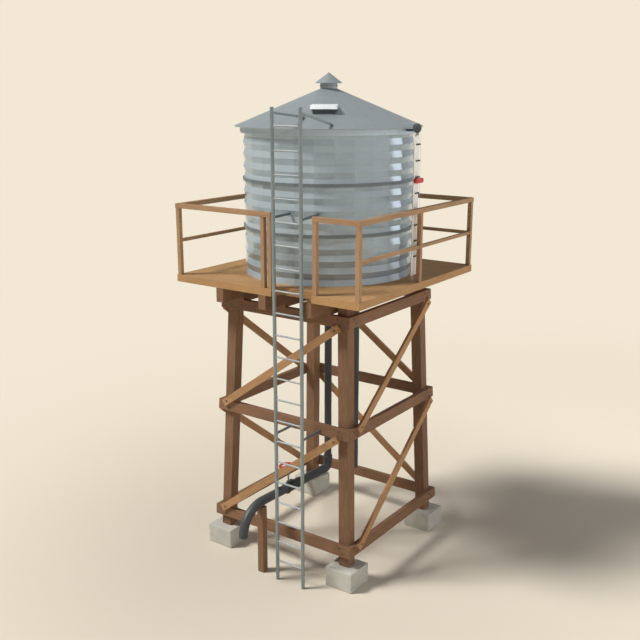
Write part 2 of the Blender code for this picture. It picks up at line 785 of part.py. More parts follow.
def build_gauge():
    """Gauge board on its bracket, the pulley over it, the guide wire, and the marker that slides on it."""
    back = BOARD_FACE - BOARD_THICKNESS
    box(
        "gauge_board",
        (back, -BOARD_HALF_WIDTH, BOARD_BOTTOM),
        (BOARD_FACE, BOARD_HALF_WIDTH, BOARD_TOP),
        WHITE_PAINT,
    )
    bar_back = back - GAP - 0.016
    wire_x = PULLEY_X + GROOVE_RADIUS + WIRE_RADIUS + GAP
    bar = box("gauge_bracket", (bar_back, -0.02, DECK_TOP + GAP), (back - GAP, 0.02, 6.176), DARK_STEEL)
    cheek_near = PULLEY_THICKNESS / 2 + 0.005
    cheek_far = cheek_near + 0.012
    arms = [
        box(
            "pulley_arm",
            (NECK_BAND_RADIUS + 2 * GAP, cheek_near + 0.001, 6.205),
            (PULLEY_X - 0.004, cheek_near + 0.018, 6.235),
            DARK_STEEL,
        ),
        box(
            "pulley_cheek",
            (bar_back + 0.002, cheek_near, 6.152),
            (PULLEY_X + 0.018, cheek_far, PULLEY_Z + 0.018),
            DARK_STEEL,
        ),
        rod(
            "pulley_axle",
            (PULLEY_X, -PULLEY_THICKNESS / 2 - 0.008, PULLEY_Z),
            (PULLEY_X, cheek_far - 0.004, PULLEY_Z),
            0.008,
            DARK_STEEL,
            10,
        ),
    ]
    combine(bar, arms, "UNION")

    pulley = turned(
        "gauge_pulley",
        (
            (PULLEY_RADIUS, PULLEY_THICKNESS / 2),
            (GROOVE_RADIUS, 0.003),
            (GROOVE_RADIUS, -0.003),
            (PULLEY_RADIUS, -PULLEY_THICKNESS / 2),
            (0.009, -PULLEY_THICKNESS / 2),
            (0.009, PULLEY_THICKNESS / 2),
        ),
        DARK_STEEL,
        24,
    )
    pulley.matrix_world = Matrix.Translation((PULLEY_X, 0.0, PULLEY_Z)) @ Matrix.Rotation(math.pi / 2, 4, "X")

    wire_bend = wire_x - PULLEY_X
    route = [(wire_x, 0.0, RAIL_TOP + GAP)]
    for across, up in arc((PULLEY_X, PULLEY_Z), wire_bend, 0, 90, 8):
        route.append((across, 0.0, up))
    route.append((1.191, 0.0, PULLEY_Z + wire_bend))
    tube("gauge_wire", route, WIRE_RADIUS, GALVANISED, 2)

    marker = box(
        "gauge_marker",
        (1.437, -MARKER_HALF_WIDTH, MARKER_Z - MARKER_HALF_HEIGHT),
        (1.482, MARKER_HALF_WIDTH, MARKER_Z + MARKER_HALF_HEIGHT),
        RED_PAINT,
    )
    way = rod("marker_way", (wire_x, 0.0, MARKER_Z - 0.1), (wire_x, 0.0, MARKER_Z + 0.1), 0.0028, RED_PAINT, 8)
    combine(marker, [way], "DIFFERENCE")


build_footings_and_legs()
build_girts()
build_braces()
build_joists()
build_deck()
build_railings()
build_tank()
build_roof()
build_ladder()
build_pipes()
build_gauge()
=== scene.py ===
"""A timber water tower: braced frame, deck, corrugated tank, ladder, outlet and level gauge."""

import math

import bmesh
import bpy
from mathutils import Matrix, Vector, noise


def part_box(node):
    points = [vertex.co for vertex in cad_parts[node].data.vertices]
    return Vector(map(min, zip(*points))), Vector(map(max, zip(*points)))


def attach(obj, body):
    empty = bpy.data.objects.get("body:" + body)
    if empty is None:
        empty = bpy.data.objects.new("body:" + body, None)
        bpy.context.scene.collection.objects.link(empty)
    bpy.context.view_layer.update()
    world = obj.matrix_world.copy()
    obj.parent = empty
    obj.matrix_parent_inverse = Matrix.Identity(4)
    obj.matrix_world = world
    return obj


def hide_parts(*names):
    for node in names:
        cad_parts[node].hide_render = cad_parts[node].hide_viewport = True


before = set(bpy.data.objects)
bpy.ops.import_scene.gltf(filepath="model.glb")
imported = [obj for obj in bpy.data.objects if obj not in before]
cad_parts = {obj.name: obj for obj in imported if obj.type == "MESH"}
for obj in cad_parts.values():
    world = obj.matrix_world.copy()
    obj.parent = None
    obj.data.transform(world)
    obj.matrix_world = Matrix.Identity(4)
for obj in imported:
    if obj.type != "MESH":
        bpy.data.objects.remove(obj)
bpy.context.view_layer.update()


# The view: the camera stands to the front right, as high as the roof, and looks down at the tower. A
# broad lamp at the front left casts the soft shadow and a wider one behind lifts it. A low lamp lights
# the right side, and a cool panel behind on the right gives the bright patches down the tank.
scene = bpy.context.scene
scene.view_settings.view_transform = "Standard"
camera = bpy.data.objects.new("camera", bpy.data.cameras.new("camera"))
camera.location = (7.2814, -10.4124, 6.7269)
camera.rotation_euler = (math.radians(75.4785), 0.0, math.radians(35.5155))
camera.data.sensor_width = 36.0
camera.data.lens = 49.874
scene.collection.objects.link(camera)
scene.camera = camera


def linear(code, alpha=1.0):
    """Turn a six-digit sRGB hex colour into the linear values that a shader takes."""
    parts = [int(code[start:start + 2], 16) / 255.0 for start in (0, 2, 4)]
    parts = [part / 12.92 if part <= 0.04045 else ((part + 0.055) / 1.055) ** 2.4 for part in parts]
    return (*parts, alpha)


def add(tree, kind, values=None, **settings):
    """Add a shader node: settings are its own, values go to its inputs as constants or as links."""
    made = tree.nodes.new(kind)
    for key, value in settings.items():
        setattr(made, key, value)
    for key, value in (values or {}).items():
        if isinstance(value, bpy.types.NodeSocket):
            tree.links.new(value, made.inputs[key])
        else:
            made.inputs[key].default_value = value
    return made


def toward(turn, rise=0.0):
    """The direction at this turn about Z and this rise above level, in degrees."""
    turn, rise = math.radians(turn), math.radians(rise)
    return Vector((math.cos(turn) * math.cos(rise), math.sin(turn) * math.cos(rise), math.sin(rise)))


def shine(name, kind, way, distance, energy, colour, target=(0.0, 0.0, 3.0)):
    """Add a lamp that stands this way from the target and shines on it."""
    lamp = bpy.data.objects.new(name, bpy.data.lights.new(name, kind))
    lamp.data.energy = energy
    lamp.data.color = linear(colour)[:3]
    lamp.location = Vector(target) + way * distance
    lamp.rotation_euler = way.to_track_quat("Z", "Y").to_euler()
    lamp.visible_camera = False
    scene.collection.objects.link(lamp)
    return lamp


for name, way, energy, colour, spread, glossy in (
    ("key_lamp", toward(222.8, 49.4), 3.28, "FFFEFB", 15.5, True),
    ("fill_lamp", toward(64.0, 46.0), 0.42, "FFFBF2", 60.0, False),
    ("side_lamp", toward(-8.0, 7.0), 1.2, "FBFBFF", 60.0, False),
):
    sun = shine(name, "SUN", way, 20.0, energy, colour)
    sun.data.angle = math.radians(spread)
    sun.visible_glossy = glossy
glint = shine("glint_lamp", "AREA", toward(48.7, 14.0), 9.0, 126.0, "E3E7F7", target=(1.2, 0.0, 5.2))
glint.data.shape = "RECTANGLE"
glint.data.size, glint.data.size_y = 5.0, 3.4

# The room round it: pale walls that show in the steel but add little plain light. A dark wing of them,
# behind on the right, is what the tank's right edge mirrors.
WALLS_MIRRORED, WALLS_DIFFUSE = 0.46, 0.05
WING_TURN, WING_EDGE, WING_CORE, WING_LEVEL = 78.0, 0.94, 0.985, 0.3
world = bpy.data.worlds.new("studio")
scene.world = world
world.use_nodes = True
tree = world.node_tree
walls = tree.nodes["Background"]
walls.inputs["Color"].default_value = linear("F2F6FA")
ray = add(tree, "ShaderNodeLightPath")
level = add(
    tree, "ShaderNodeMapRange",
    {0: ray.outputs["Is Diffuse Ray"], 1: 0.0, 2: 1.0, 3: WALLS_MIRRORED, 4: WALLS_DIFFUSE},
)
way = add(tree, "ShaderNodeTexCoord")
level_way = add(
    tree, "ShaderNodeVectorMath", {0: way.outputs["Generated"], 1: (1.0, 1.0, 0.0)}, operation="MULTIPLY"
)
unit = add(tree, "ShaderNodeVectorMath", {0: level_way.outputs[0]}, operation="NORMALIZE")
off_wing = add(
    tree, "ShaderNodeVectorMath", {0: unit.outputs[0], 1: tuple(toward(WING_TURN))}, operation="DOT_PRODUCT"
)
wing = add(
    tree, "ShaderNodeMapRange",
    {0: off_wing.outputs["Value"], 1: WING_EDGE, 2: WING_CORE, 3: 1.0, 4: WING_LEVEL},
)
strength = add(tree, "ShaderNodeMath", {0: level.outputs[0], 1: wing.outputs[0]}, operation="MULTIPLY")
tree.links.new(strength.outputs[0], walls.inputs["Strength"])

# The studio: a plain cream floor that takes the shadow near the tower. Its colour is darker near the
# tower and grows paler away from it, painted shade round its foot. Some metres out it fades into the
# even cream of the backdrop.
BACKDROP = linear("F2E8D5")
PAINTED_SHADE_FROM, PAINTED_SHADE_TO = 1.5, 7.5
FADE_SHIFT, FADE_START, FADE_END = (-2.6, -2.6, 0.0), 6.0, 14.0
FLOOR_HALF, BACKDROP_RADIUS = 70.0, 69.0
studio = bpy.data.materials.new("cream_studio_paper")
studio.use_nodes = True
tree = studio.node_tree
place = add(tree, "ShaderNodeTexCoord")
flat = add(
    tree, "ShaderNodeVectorMath", {0: place.outputs["Object"], 1: (1.0, 1.0, 0.0)}, operation="MULTIPLY"
)
shifted = add(tree, "ShaderNodeVectorMath", {0: flat.outputs[0], 1: FADE_SHIFT}, operation="ADD")
reach = add(tree, "ShaderNodeVectorMath", {0: shifted.outputs[0]}, operation="LENGTH")
fade = add(
    tree, "ShaderNodeMapRange", {0: reach.outputs["Value"], 1: FADE_START, 2: FADE_END, 3: 0.0, 4: 1.0},
    interpolation_type="SMOOTHSTEP",
)
from_tower = add(tree, "ShaderNodeVectorMath", {0: flat.outputs[0]}, operation="LENGTH")
# Painted shade: the floor is coloured darker within a few metres of the tower and paler further out.
painted_shade_fading = add(
    tree, "ShaderNodeMapRange",
    {0: from_tower.outputs["Value"], 1: PAINTED_SHADE_FROM, 2: PAINTED_SHADE_TO, 3: 0.0, 4: 1.0},
    interpolation_type="SMOOTHSTEP",
)
cream = add(
    tree, "ShaderNodeMix", {0: painted_shade_fading.outputs[0], 6: linear("DAD1C0"), 7: linear("ECE2CF")}, data_type="RGBA"
)
paper = tree.nodes["Principled BSDF"]
tree.links.new(cream.outputs[2], paper.inputs["Base Color"])
paper.inputs["Roughness"].default_value = 0.9
paper.inputs["Specular IOR Level"].default_value = 0.1
glow = add(tree, "ShaderNodeEmission", {"Color": BACKDROP, "Strength": 1.0})
blend = add(tree, "ShaderNodeMixShader", {0: fade.outputs[0], 1: paper.outputs[0], 2: glow.outputs[0]})
tree.links.new(blend.outputs[0], tree.nodes["Material Output"].inputs["Surface"])

bm = bmesh.new()
bmesh.ops.create_grid(bm, x_segments=1, y_segments=1, size=FLOOR_HALF)
floor = bpy.data.objects.new("studio_floor", bpy.data.meshes.new("studio_floor"))
bm.to_mesh(floor.data)
bm.free()
floor.data.materials.append(studio)
scene.collection.objects.link(floor)

backdrop_paper = bpy.data.materials.new("cream_backdrop")
backdrop_paper.use_nodes = True
tree = backdrop_paper.node_tree
glow = add(tree, "ShaderNodeEmission", {"Color": BACKDROP, "Strength": 1.0})
tree.links.new(glow.outputs[0], tree.nodes["Material Output"].inputs["Surface"])
bm = bmesh.new()
bmesh.ops.create_uvsphere(bm, u_segments=48, v_segments=24, radius=BACKDROP_RADIUS)
bmesh.ops.reverse_faces(bm, faces=bm.faces)
backdrop = bpy.data.objects.new("studio_backdrop", bpy.data.meshes.new("studio_backdrop"))
bm.to_mesh(backdrop.data)
bm.free()
backdrop.data.materials.append(backdrop_paper)
backdrop.visible_diffuse = False
backdrop.visible_glossy = False
backdrop.visible_shadow = False
scene.collection.objects.link(backdrop)


# The footings: four blocks of plain concrete cast in a box on the ground. Their arrises are rounded
# a little and the faces aren't quite flat.
def finish_piece(name, bm, surface, body="tower", nodes=(), smooth=0.0):
    """Make a piece of this mesh: it rides on a body, and stands for the CAD nodes that are named.

    Faces that meet at less than the angle smooth are shaded as one surface."""
    bmesh.ops.recalc_face_normals(bm, faces=bm.faces)
    for face in bm.faces:
        face.smooth = smooth > 0.0
    for edge in bm.edges:
        edge.smooth = edge.calc_face_angle(math.pi) < smooth
    mesh = bpy.data.meshes.new(name)
    bm.to_mesh(mesh)
    bm.free()
    made = bpy.data.objects.new(name, mesh)
    mesh.materials.append(surface)
    scene.collection.objects.link(made)
    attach(made, body)
    if nodes:
        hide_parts(*nodes)


def block(bm, low, high):
    """A block between two corners. Gives back its edges."""
    low, high = Vector(low), Vector(high)
    fit = Matrix.Translation((low + high) / 2) @ Matrix.Diagonal((*(high - low), 1.0))
    corners = bmesh.ops.create_cube(bm, size=1.0, matrix=fit)["verts"]
    return list(dict.fromkeys(edge for corner in corners for edge in corner.link_edges))


def ease_edges(bm, edges, ease, segments=2):
    """Round these edges off by this much."""
    bmesh.ops.bevel(
        bm, geom=edges, offset=ease, offset_type="OFFSET", affect="EDGES", segments=segments, profile=0.5,
        material=-1,
    )


def new_finish(name):
    """An empty material with a Principled shader, and its tree and Object coordinates."""
    made = bpy.data.materials.new(name)
    made.use_nodes = True
    coordinates = add(made.node_tree, "ShaderNodeTexCoord").outputs["Object"]
    return made, made.node_tree, made.node_tree.nodes["Principled BSDF"], coordinates


def cast_concrete():
    """Fair-faced concrete: matt, cool cream grey, with small air holes some 40 mm apart, coloured darker
    inside as painted shade.

    It is blotched at 140 mm, about a hand's width, and has grit of 5 mm."""
    made, tree, shader, where = new_finish("cast_concrete")
    blotch = add(tree, "ShaderNodeTexNoise", {"Vector": where, "Scale": 7.0, "Detail": 5.0, "Roughness": 0.6})
    grit = add(tree, "ShaderNodeTexNoise", {"Vector": where, "Scale": 220.0, "Detail": 3.0})
    holes = add(tree, "ShaderNodeTexVoronoi", {"Vector": where, "Scale": 26.0})
    pit_shade_and_relief = add(
        tree, "ShaderNodeMapRange", {0: holes.outputs["Distance"], 1: 0.06, 2: 0.13, 3: 0.0, 4: 1.0}
    )
    base = add(
        tree, "ShaderNodeMix", {0: blotch.outputs["Fac"], 6: linear("ABA99F"), 7: linear("D6D4CA")},
        data_type="RGBA",
    )
    speck = add(tree, "ShaderNodeMapRange", {0: grit.outputs["Fac"], 1: 0.3, 2: 0.7, 3: 0.88, 4: 1.05})
    shade = add(
        tree, "ShaderNodeMix", {0: 1.0, 6: base.outputs[2], 7: speck.outputs[0]}, data_type="RGBA",
        blend_type="MULTIPLY",
    )
    # Painted shade: the air holes are coloured a darker grey brown.
    dark = add(
        tree, "ShaderNodeMix", {0: pit_shade_and_relief.outputs[0], 6: linear("8E897C"), 7: shade.outputs[2]},
        data_type="RGBA",
    )
    height = add(tree, "ShaderNodeMath", {0: pit_shade_and_relief.outputs[0], 1: grit.outputs["Fac"]}, operation="ADD")
    bump = add(tree, "ShaderNodeBump", {"Strength": 0.35, "Distance": 0.002, "Height": height.outputs[0]})
    tree.links.new(dark.outputs[2], shader.inputs["Base Color"])
    tree.links.new(bump.outputs[0], shader.inputs["Normal"])
    shader.inputs["Roughness"].default_value = 0.88
    return made


CONCRETE = cast_concrete()
CORNERS = ("front_left", "front_right", "back_right", "back_left")
ROUNDED_ARRIS, LONG_EDGE = 0.011, 0.1
HOLLOW, HOLLOW_SCALE, RIPPLE, RIPPLE_SCALE = 0.0035, 9.0, 0.0025, 31.0
for corner in CORNERS:
    low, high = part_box(f"footing_{corner}")
    middle = (low + high) / 2
    bm = bmesh.new()
    block(bm, low, high)
    ease_edges(bm, list(bm.edges), ROUNDED_ARRIS, segments=3)
    long_edges = [edge for edge in bm.edges if edge.calc_length() > LONG_EDGE]
    bmesh.ops.subdivide_edges(bm, edges=long_edges, cuts=7, use_grid_fill=True)
    for vertex in bm.verts:
        depth = HOLLOW * abs(noise.noise(vertex.co * HOLLOW_SCALE))
        depth += RIPPLE * abs(noise.noise(vertex.co * RIPPLE_SCALE))
        vertex.co += (middle - vertex.co).normalized() * depth
        vertex.co.z = max(vertex.co.z, 0.0)
    finish_piece(f"cast_footing_{corner}", bm, CONCRETE, nodes=(f"footing_{corner}",), smooth=0.5)


# The frame: sawn softwood, stained dark brown, for the legs, girts, joists and the short post under
# the pipe. The girts are bolted to the outside of the legs, and every arris is eased with a plane.
GRAIN_STRETCH = 22.0


def sawn_timber(name, pale, dark, along, ring=0.012, contrast=1.0):
    """Sawn and stained softwood: low sheen, grain that runs along the board, and slow changes of tone.

    The grain's lines are ring apart, wider than the real 2 to 4 mm, so that they show from here."""
    made, tree, shader, where = new_finish(name)
    axis = Vector(along).normalized()
    across_scale = 1.0 / ring
    along_scale = across_scale / GRAIN_STRETCH
    run = add(tree, "ShaderNodeVectorMath", {0: where, 1: tuple(axis)}, operation="DOT_PRODUCT")
    pull = add(
        tree, "ShaderNodeVectorMath",
        {0: tuple(axis * (along_scale - across_scale)), 3: run.outputs["Value"]}, operation="SCALE",
    )
    wide = add(tree, "ShaderNodeVectorMath", {0: where, 3: across_scale}, operation="SCALE")
    drawn = add(tree, "ShaderNodeVectorMath", {0: wide.outputs[0], 1: pull.outputs[0]}, operation="ADD")
    grain = add(
        tree, "ShaderNodeTexNoise",
        {"Vector": drawn.outputs[0], "Scale": 1.0, "Detail": 6.0, "Roughness": 0.62, "Distortion": 0.6},
    )
    tone = add(tree, "ShaderNodeTexNoise", {"Vector": where, "Scale": 1.7, "Detail": 3.0})
    half = 0.5 * contrast
    lines = add(
        tree, "ShaderNodeMapRange", {0: grain.outputs["Fac"], 1: 0.3, 2: 0.72, 3: 0.5 - half, 4: 0.5 + half}
    )
    mixed = add(
        tree, "ShaderNodeMix", {0: lines.outputs[0], 6: linear(dark), 7: linear(pale)}, data_type="RGBA"
    )
    slow = add(tree, "ShaderNodeMapRange", {0: tone.outputs["Fac"], 1: 0.3, 2: 0.7, 3: 0.90, 4: 1.08})
    toned = add(
        tree, "ShaderNodeMix", {0: 1.0, 6: mixed.outputs[2], 7: slow.outputs[0]}, data_type="RGBA",
        blend_type="MULTIPLY",
    )
    gloss = add(tree, "ShaderNodeMapRange", {0: grain.outputs["Fac"], 1: 0.3, 2: 0.7, 3: 0.78, 4: 0.62})
    bump = add(
        tree, "ShaderNodeBump", {"Strength": 0.25, "Distance": 0.0008, "Height": grain.outputs["Fac"]}
    )
    tree.links.new(toned.outputs[2], shader.inputs["Base Color"])
    tree.links.new(gloss.outputs[0], shader.inputs["Roughness"])
    tree.links.new(bump.outputs[0], shader.inputs["Normal"])
    shader.inputs["Specular IOR Level"].default_value = 0.35
    return made


def eased_member(name, node, ease, surface):
    """A sawn member the size of its CAD node, with every arris planed off by the same amount."""
    bm = bmesh.new()
    bm.from_mesh(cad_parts[node].data)
    bmesh.ops.remove_doubles(bm, verts=bm.verts, dist=0.0001)
    bmesh.ops.dissolve_limit(bm, angle_limit=0.01, verts=bm.verts, edges=bm.edges)
    ease_edges(bm, list(bm.edges), ease)
    finish_piece(name, bm, surface, nodes=(node,))


STAIN_PALE, STAIN_DARK, FRAME_EASE = "8F6C51", "765740", 0.004
UPRIGHT_STAIN = sawn_timber("stained_softwood_upright", STAIN_PALE, STAIN_DARK, (0, 0, 1))
ACROSS_STAIN = sawn_timber("stained_softwood_left_right", STAIN_PALE, STAIN_DARK, (1, 0, 0))
DEEP_STAIN = sawn_timber("stained_softwood_front_back", STAIN_PALE, STAIN_DARK, (0, 1, 0))
FACES = ("front", "right", "back", "left")
for corner in CORNERS:
    eased_member(f"sawn_leg_{corner}", f"leg_{corner}", FRAME_EASE, UPRIGHT_STAIN)
eased_member("sawn_pipe_post", "pipe_post", FRAME_EASE, UPRIGHT_STAIN)
for level in ("cap", "middle_girt", "bottom_girt"):
    for face in FACES:
        stain = ACROSS_STAIN if face in ("front", "back") else DEEP_STAIN
        eased_member(f"sawn_{level}_{face}", f"{level}_{face}", FRAME_EASE, stain)
for place in ("left", "middle", "right"):
    eased_member(f"sawn_joist_{place}", f"joist_{place}", FRAME_EASE, DEEP_STAIN)

# The braces: planed boards of a paler wood, one to a bay, bolted over the girts. Their grain follows
# the slope of each board. Their ends are given as places across the face and heights.
BRACE_PALE, BRACE_DARK = "C0966A", "9C7350"
FRONT_BRACES = {"upper": ((-1.04, 2.268), (0.955, 3.708)), "lower": ((-1.075, 0.595), (0.99, 2.17))}
OTHER_BRACES = {"upper": ((-0.967, 2.262), (1.008, 3.700)), "lower": ((-1.033, 0.562), (1.063, 2.149))}
BRACES = {"front": FRONT_BRACES, "right": OTHER_BRACES, "back": OTHER_BRACES, "left": OTHER_BRACES}
for quarters, face in enumerate(FACES):
    for tier, (low, high) in BRACES[face].items():
        slope = Vector((high[0] - low[0], 0.0, high[1] - low[1]))
        slope.rotate(Matrix.Rotation(math.radians(90.0 * quarters), 3, "Z"))
        wood = sawn_timber(f"planed_board_{face}_{tier}", BRACE_PALE, BRACE_DARK, slope, ring=0.010)
        eased_member(f"board_{face}_{tier}", f"brace_{face}_{tier}", 0.003, wood)


# The fixings of the frame: coach bolts with round washers, two through each end of a girt and one
# through each end of a brace. Their zinc has weathered to a dull brown grey.
def galvanised(name, pale, dark, spangle=0.02, gloss=0.34, metal=0.85, streaks=0.0, downward_shade="FFFFFF"):
    """Hot-dip galvanised steel: satin metal, blue grey, with spangle and faint upright runs of dull zinc.

    On faces that look down its colour is multiplied by the given tint, as painted shade."""
    made, tree, shader, where = new_finish(name)
    cells = add(tree, "ShaderNodeTexVoronoi", {"Vector": where, "Scale": 1.0 / spangle})
    cloud = add(tree, "ShaderNodeTexNoise", {"Vector": where, "Scale": 3.0, "Detail": 4.0, "Roughness": 0.55})
    drawn = add(tree, "ShaderNodeMapping", {"Vector": where, "Scale": (9.0, 9.0, 0.7)})
    runs = add(tree, "ShaderNodeTexNoise", {"Vector": drawn.outputs[0], "Scale": 1.0, "Detail": 4.0})
    grey = add(tree, "ShaderNodeSeparateColor", {0: cells.outputs["Color"]})
    fleck = add(tree, "ShaderNodeMath", {0: grey.outputs[0], 1: 0.22, 2: 0.39}, operation="MULTIPLY_ADD")
    soft = add(tree, "ShaderNodeMath", {0: cloud.outputs["Fac"], 1: fleck.outputs[0]}, operation="MULTIPLY")
    amount = add(
        tree, "ShaderNodeMath", {0: runs.outputs["Fac"], 1: streaks, 2: soft.outputs[0]},
        operation="MULTIPLY_ADD",
    )
    spread = add(
        tree, "ShaderNodeMapRange",
        {0: amount.outputs[0], 1: 0.12 + 0.3 * streaks, 2: 0.42 + 0.7 * streaks, 3: 0.0, 4: 1.0},
    )
    tint = add(
        tree, "ShaderNodeMix", {0: spread.outputs[0], 6: linear(dark), 7: linear(pale)}, data_type="RGBA"
    )
    shaded_tint = add(
        tree, "ShaderNodeMix", {0: 1.0, 6: tint.outputs[2], 7: linear(downward_shade)}, data_type="RGBA",
        blend_type="MULTIPLY",
    )
    # Painted shade: faces that look down take the darker tint.
    facing = add(tree, "ShaderNodeNewGeometry")
    rise = add(tree, "ShaderNodeSeparateXYZ", {0: facing.outputs["True Normal"]})
    under = add(tree, "ShaderNodeMapRange", {0: rise.outputs[2], 1: -0.12, 2: 0.0, 3: 1.0, 4: 0.0})
    shade = add(
        tree, "ShaderNodeMix", {0: under.outputs[0], 6: tint.outputs[2], 7: shaded_tint.outputs[2]},
        data_type="RGBA",
    )
    satin = add(
        tree, "ShaderNodeMapRange", {0: amount.outputs[0], 1: 0.1, 2: 0.6, 3: gloss - 0.02, 4: gloss + 0.03}
    )
    bump = add(
        tree, "ShaderNodeBump", {"Strength": 0.02, "Distance": 0.0002, "Height": cloud.outputs["Fac"]}
    )
    tree.links.new(shade.outputs[2], shader.inputs["Base Color"])
    tree.links.new(satin.outputs[0], shader.inputs["Roughness"])
    tree.links.new(bump.outputs[0], shader.inputs["Normal"])
    shader.inputs["Metallic"].default_value = metal
    return made


# Small fixings keep a clean grey zinc, and the frame's bolts are duller and browner.
FIXING_STEEL = galvanised("galvanised_fixings", "8A9091", "666D6F", spangle=0.006, gloss=0.45, metal=0.6)
BOLT_STEEL = galvanised("weathered_bolts", "77695F", "5C4F47", spangle=0.006, gloss=0.6, metal=0.4)
WASHER_THICKNESS, HEAD_HEIGHT = 0.003, 0.008


def stood_at(spot, way):
    """The place of a shape that stands at this spot with its Z this way."""
    return Matrix.Translation(Vector(spot)) @ Vector(way).to_track_quat("Z", "Y").to_matrix().to_4x4()


def round_bar(bm, start, end, radius, sides=16, far_radius=None):
    """A round bar or cone between two points."""
    start, end = Vector(start), Vector(end)
    along = end - start
    far = radius if far_radius is None else far_radius
    bmesh.ops.create_cone(
        bm, cap_ends=True, segments=sides, radius1=radius, radius2=far, depth=along.length,
        matrix=stood_at((start + end) / 2, along),
    )


def coach_bolt(bm, spot, outward, head, washer):
    """A washer and a hexagon head on it, of these radii."""
    place = stood_at(spot, outward)
    for sides, near, far, start, depth in (
        (14, washer, washer, 0.0, WASHER_THICKNESS),
        (6, head, head * 0.9, WASHER_THICKNESS, HEAD_HEIGHT),
    ):
        lift = Matrix.Translation((0.0, 0.0, start + depth / 2))
        bmesh.ops.create_cone(
            bm, cap_ends=True, segments=sides, radius1=near, radius2=far, depth=depth, matrix=place @ lift
        )


# The frame leans in by its batter. Seated pieces have a hair's breadth between them.
HAIR = 0.0003
CAP_TOP, CAP_HALF, BATTER, GIRT_HEIGHT, BRACE_THICKNESS = 3.856, 1.1031, 0.0365, 0.156, 0.040
GIRT_TOPS, GIRT_BOLTS = (CAP_TOP, 2.31, 0.62), ((-0.032, 0.045), (0.032, 0.111))
GIRT_BOLT_INSET, BRACE_BOLT_INSET, FRAME_BOLT = 0.15, 0.075, (0.009, 0.015)


def frame_half(height):
    """Half of the frame's width over the girts at this height."""
    return CAP_HALF + (CAP_TOP - height) * BATTER


bm = bmesh.new()
for quarters, face in enumerate(FACES):
    turn = Matrix.Rotation(math.radians(90.0 * quarters), 3, "Z")
    outward = turn @ Vector((0.0, -1.0, BATTER))
    spots = []
    for top in GIRT_TOPS:
        leg = frame_half(top - GIRT_HEIGHT / 2) - GIRT_BOLT_INSET
        for side in (-1, 1):
            spots += [(side * leg + shift, top - drop, HAIR) for shift, drop in GIRT_BOLTS]
    for low, high in BRACES[face].values():
        run = (Vector(high) - Vector(low)).normalized() * BRACE_BOLT_INSET
        for across, height in (Vector(low) + run, Vector(high) - run):
            spots.append((across, height, BRACE_THICKNESS + 2 * HAIR))
    for across, height, lift in spots:
        spot = turn @ Vector((across, -frame_half(height) - lift, height))
        coach_bolt(bm, spot, outward, *FRAME_BOLT)
finish_piece("frame_bolts", bm, BOLT_STEEL, smooth=0.5)


# The deck: planks laid from left to right on bearers over the joists, with a few millimetres between
# them, edge boards round them, and a notch at the front for the ladder. Tan softwood, a little bleached.
DECK_HALF, DECK_TOP, DECK_THICKNESS = 1.54, 4.20, 0.10
NOTCH_LEFT, NOTCH_RIGHT, NOTCH_BACK = 0.16, 0.81, -1.37
PLANKS, PLANK_THICKNESS, PLANK_GAP, EDGE_BOARD = 21, 0.040, 0.004, 0.024
BEARERS, BEARER_HALF = (-1.47, -1.1, -0.745, -0.3725, 0.0, 0.3725, 0.745, 1.1, 1.47), 0.04
UNDER_DECK, PLANK_FOOT = DECK_TOP - DECK_THICKNESS, DECK_TOP - PLANK_THICKNESS
DECK_PALE, DECK_DARK = "C29A6B", "A37A4E"
PLANK_WOOD = sawn_timber("planed_planks", DECK_PALE, DECK_DARK, (1, 0, 0), ring=0.011, contrast=0.7)
EDGE_WOOD = sawn_timber("planed_edge_boards", DECK_PALE, DECK_DARK, (0, 1, 0), ring=0.011, contrast=0.7)


def board(bm, low, high, ease=0.002):
    """A planed board between two corners, with eased arrises."""
    ease_edges(bm, block(bm, low, high), ease)


inside = DECK_HALF - EDGE_BOARD - 0.001
pitch = 2.0 * inside / PLANKS
front_board, back_board = -DECK_HALF + EDGE_BOARD, DECK_HALF - EDGE_BOARD
left_of_notch, right_of_notch = NOTCH_LEFT - EDGE_BOARD, NOTCH_RIGHT + EDGE_BOARD
behind_notch = NOTCH_BACK + EDGE_BOARD
bm = bmesh.new()
for index in range(PLANKS):
    near = -inside + index * pitch + PLANK_GAP / 2
    far = near + pitch - PLANK_GAP
    spans = [(-inside, inside, near)]
    if near < behind_notch:
        spans = [(-inside, left_of_notch, near), (right_of_notch, inside, near)]
        if far > behind_notch + 0.02:
            spans.append((left_of_notch, right_of_notch, behind_notch))
    for left, right, start in spans:
        board(bm, (left, start, PLANK_FOOT), (right, far, DECK_TOP))
for left, right, near, far in (
    (-DECK_HALF, DECK_HALF, back_board, DECK_HALF),
    (-DECK_HALF, NOTCH_LEFT, -DECK_HALF, front_board),
    (NOTCH_RIGHT, DECK_HALF, -DECK_HALF, front_board),
    (left_of_notch, right_of_notch, NOTCH_BACK, behind_notch),
):
    board(bm, (left, near, UNDER_DECK), (right, far, DECK_TOP))
finish_piece("deck_planks", bm, PLANK_WOOD, nodes=("deck",))
bm = bmesh.new()
for left, right, far in (
    (-DECK_HALF, -DECK_HALF + EDGE_BOARD, back_board),
    (DECK_HALF - EDGE_BOARD, DECK_HALF, back_board),
    (left_of_notch, NOTCH_LEFT, NOTCH_BACK),
    (NOTCH_RIGHT, right_of_notch, NOTCH_BACK),
):
    board(bm, (left, front_board, UNDER_DECK), (right, far, DECK_TOP))
for middle in BEARERS:
    near = behind_notch if NOTCH_LEFT - 0.1 < middle < NOTCH_RIGHT + 0.1 else front_board
    foot = UNDER_DECK + 0.0002
    board(bm, (middle - BEARER_HALF, near, foot), (middle + BEARER_HALF, back_board, PLANK_FOOT))
finish_piece("deck_bearers_and_edges", bm, EDGE_WOOD)


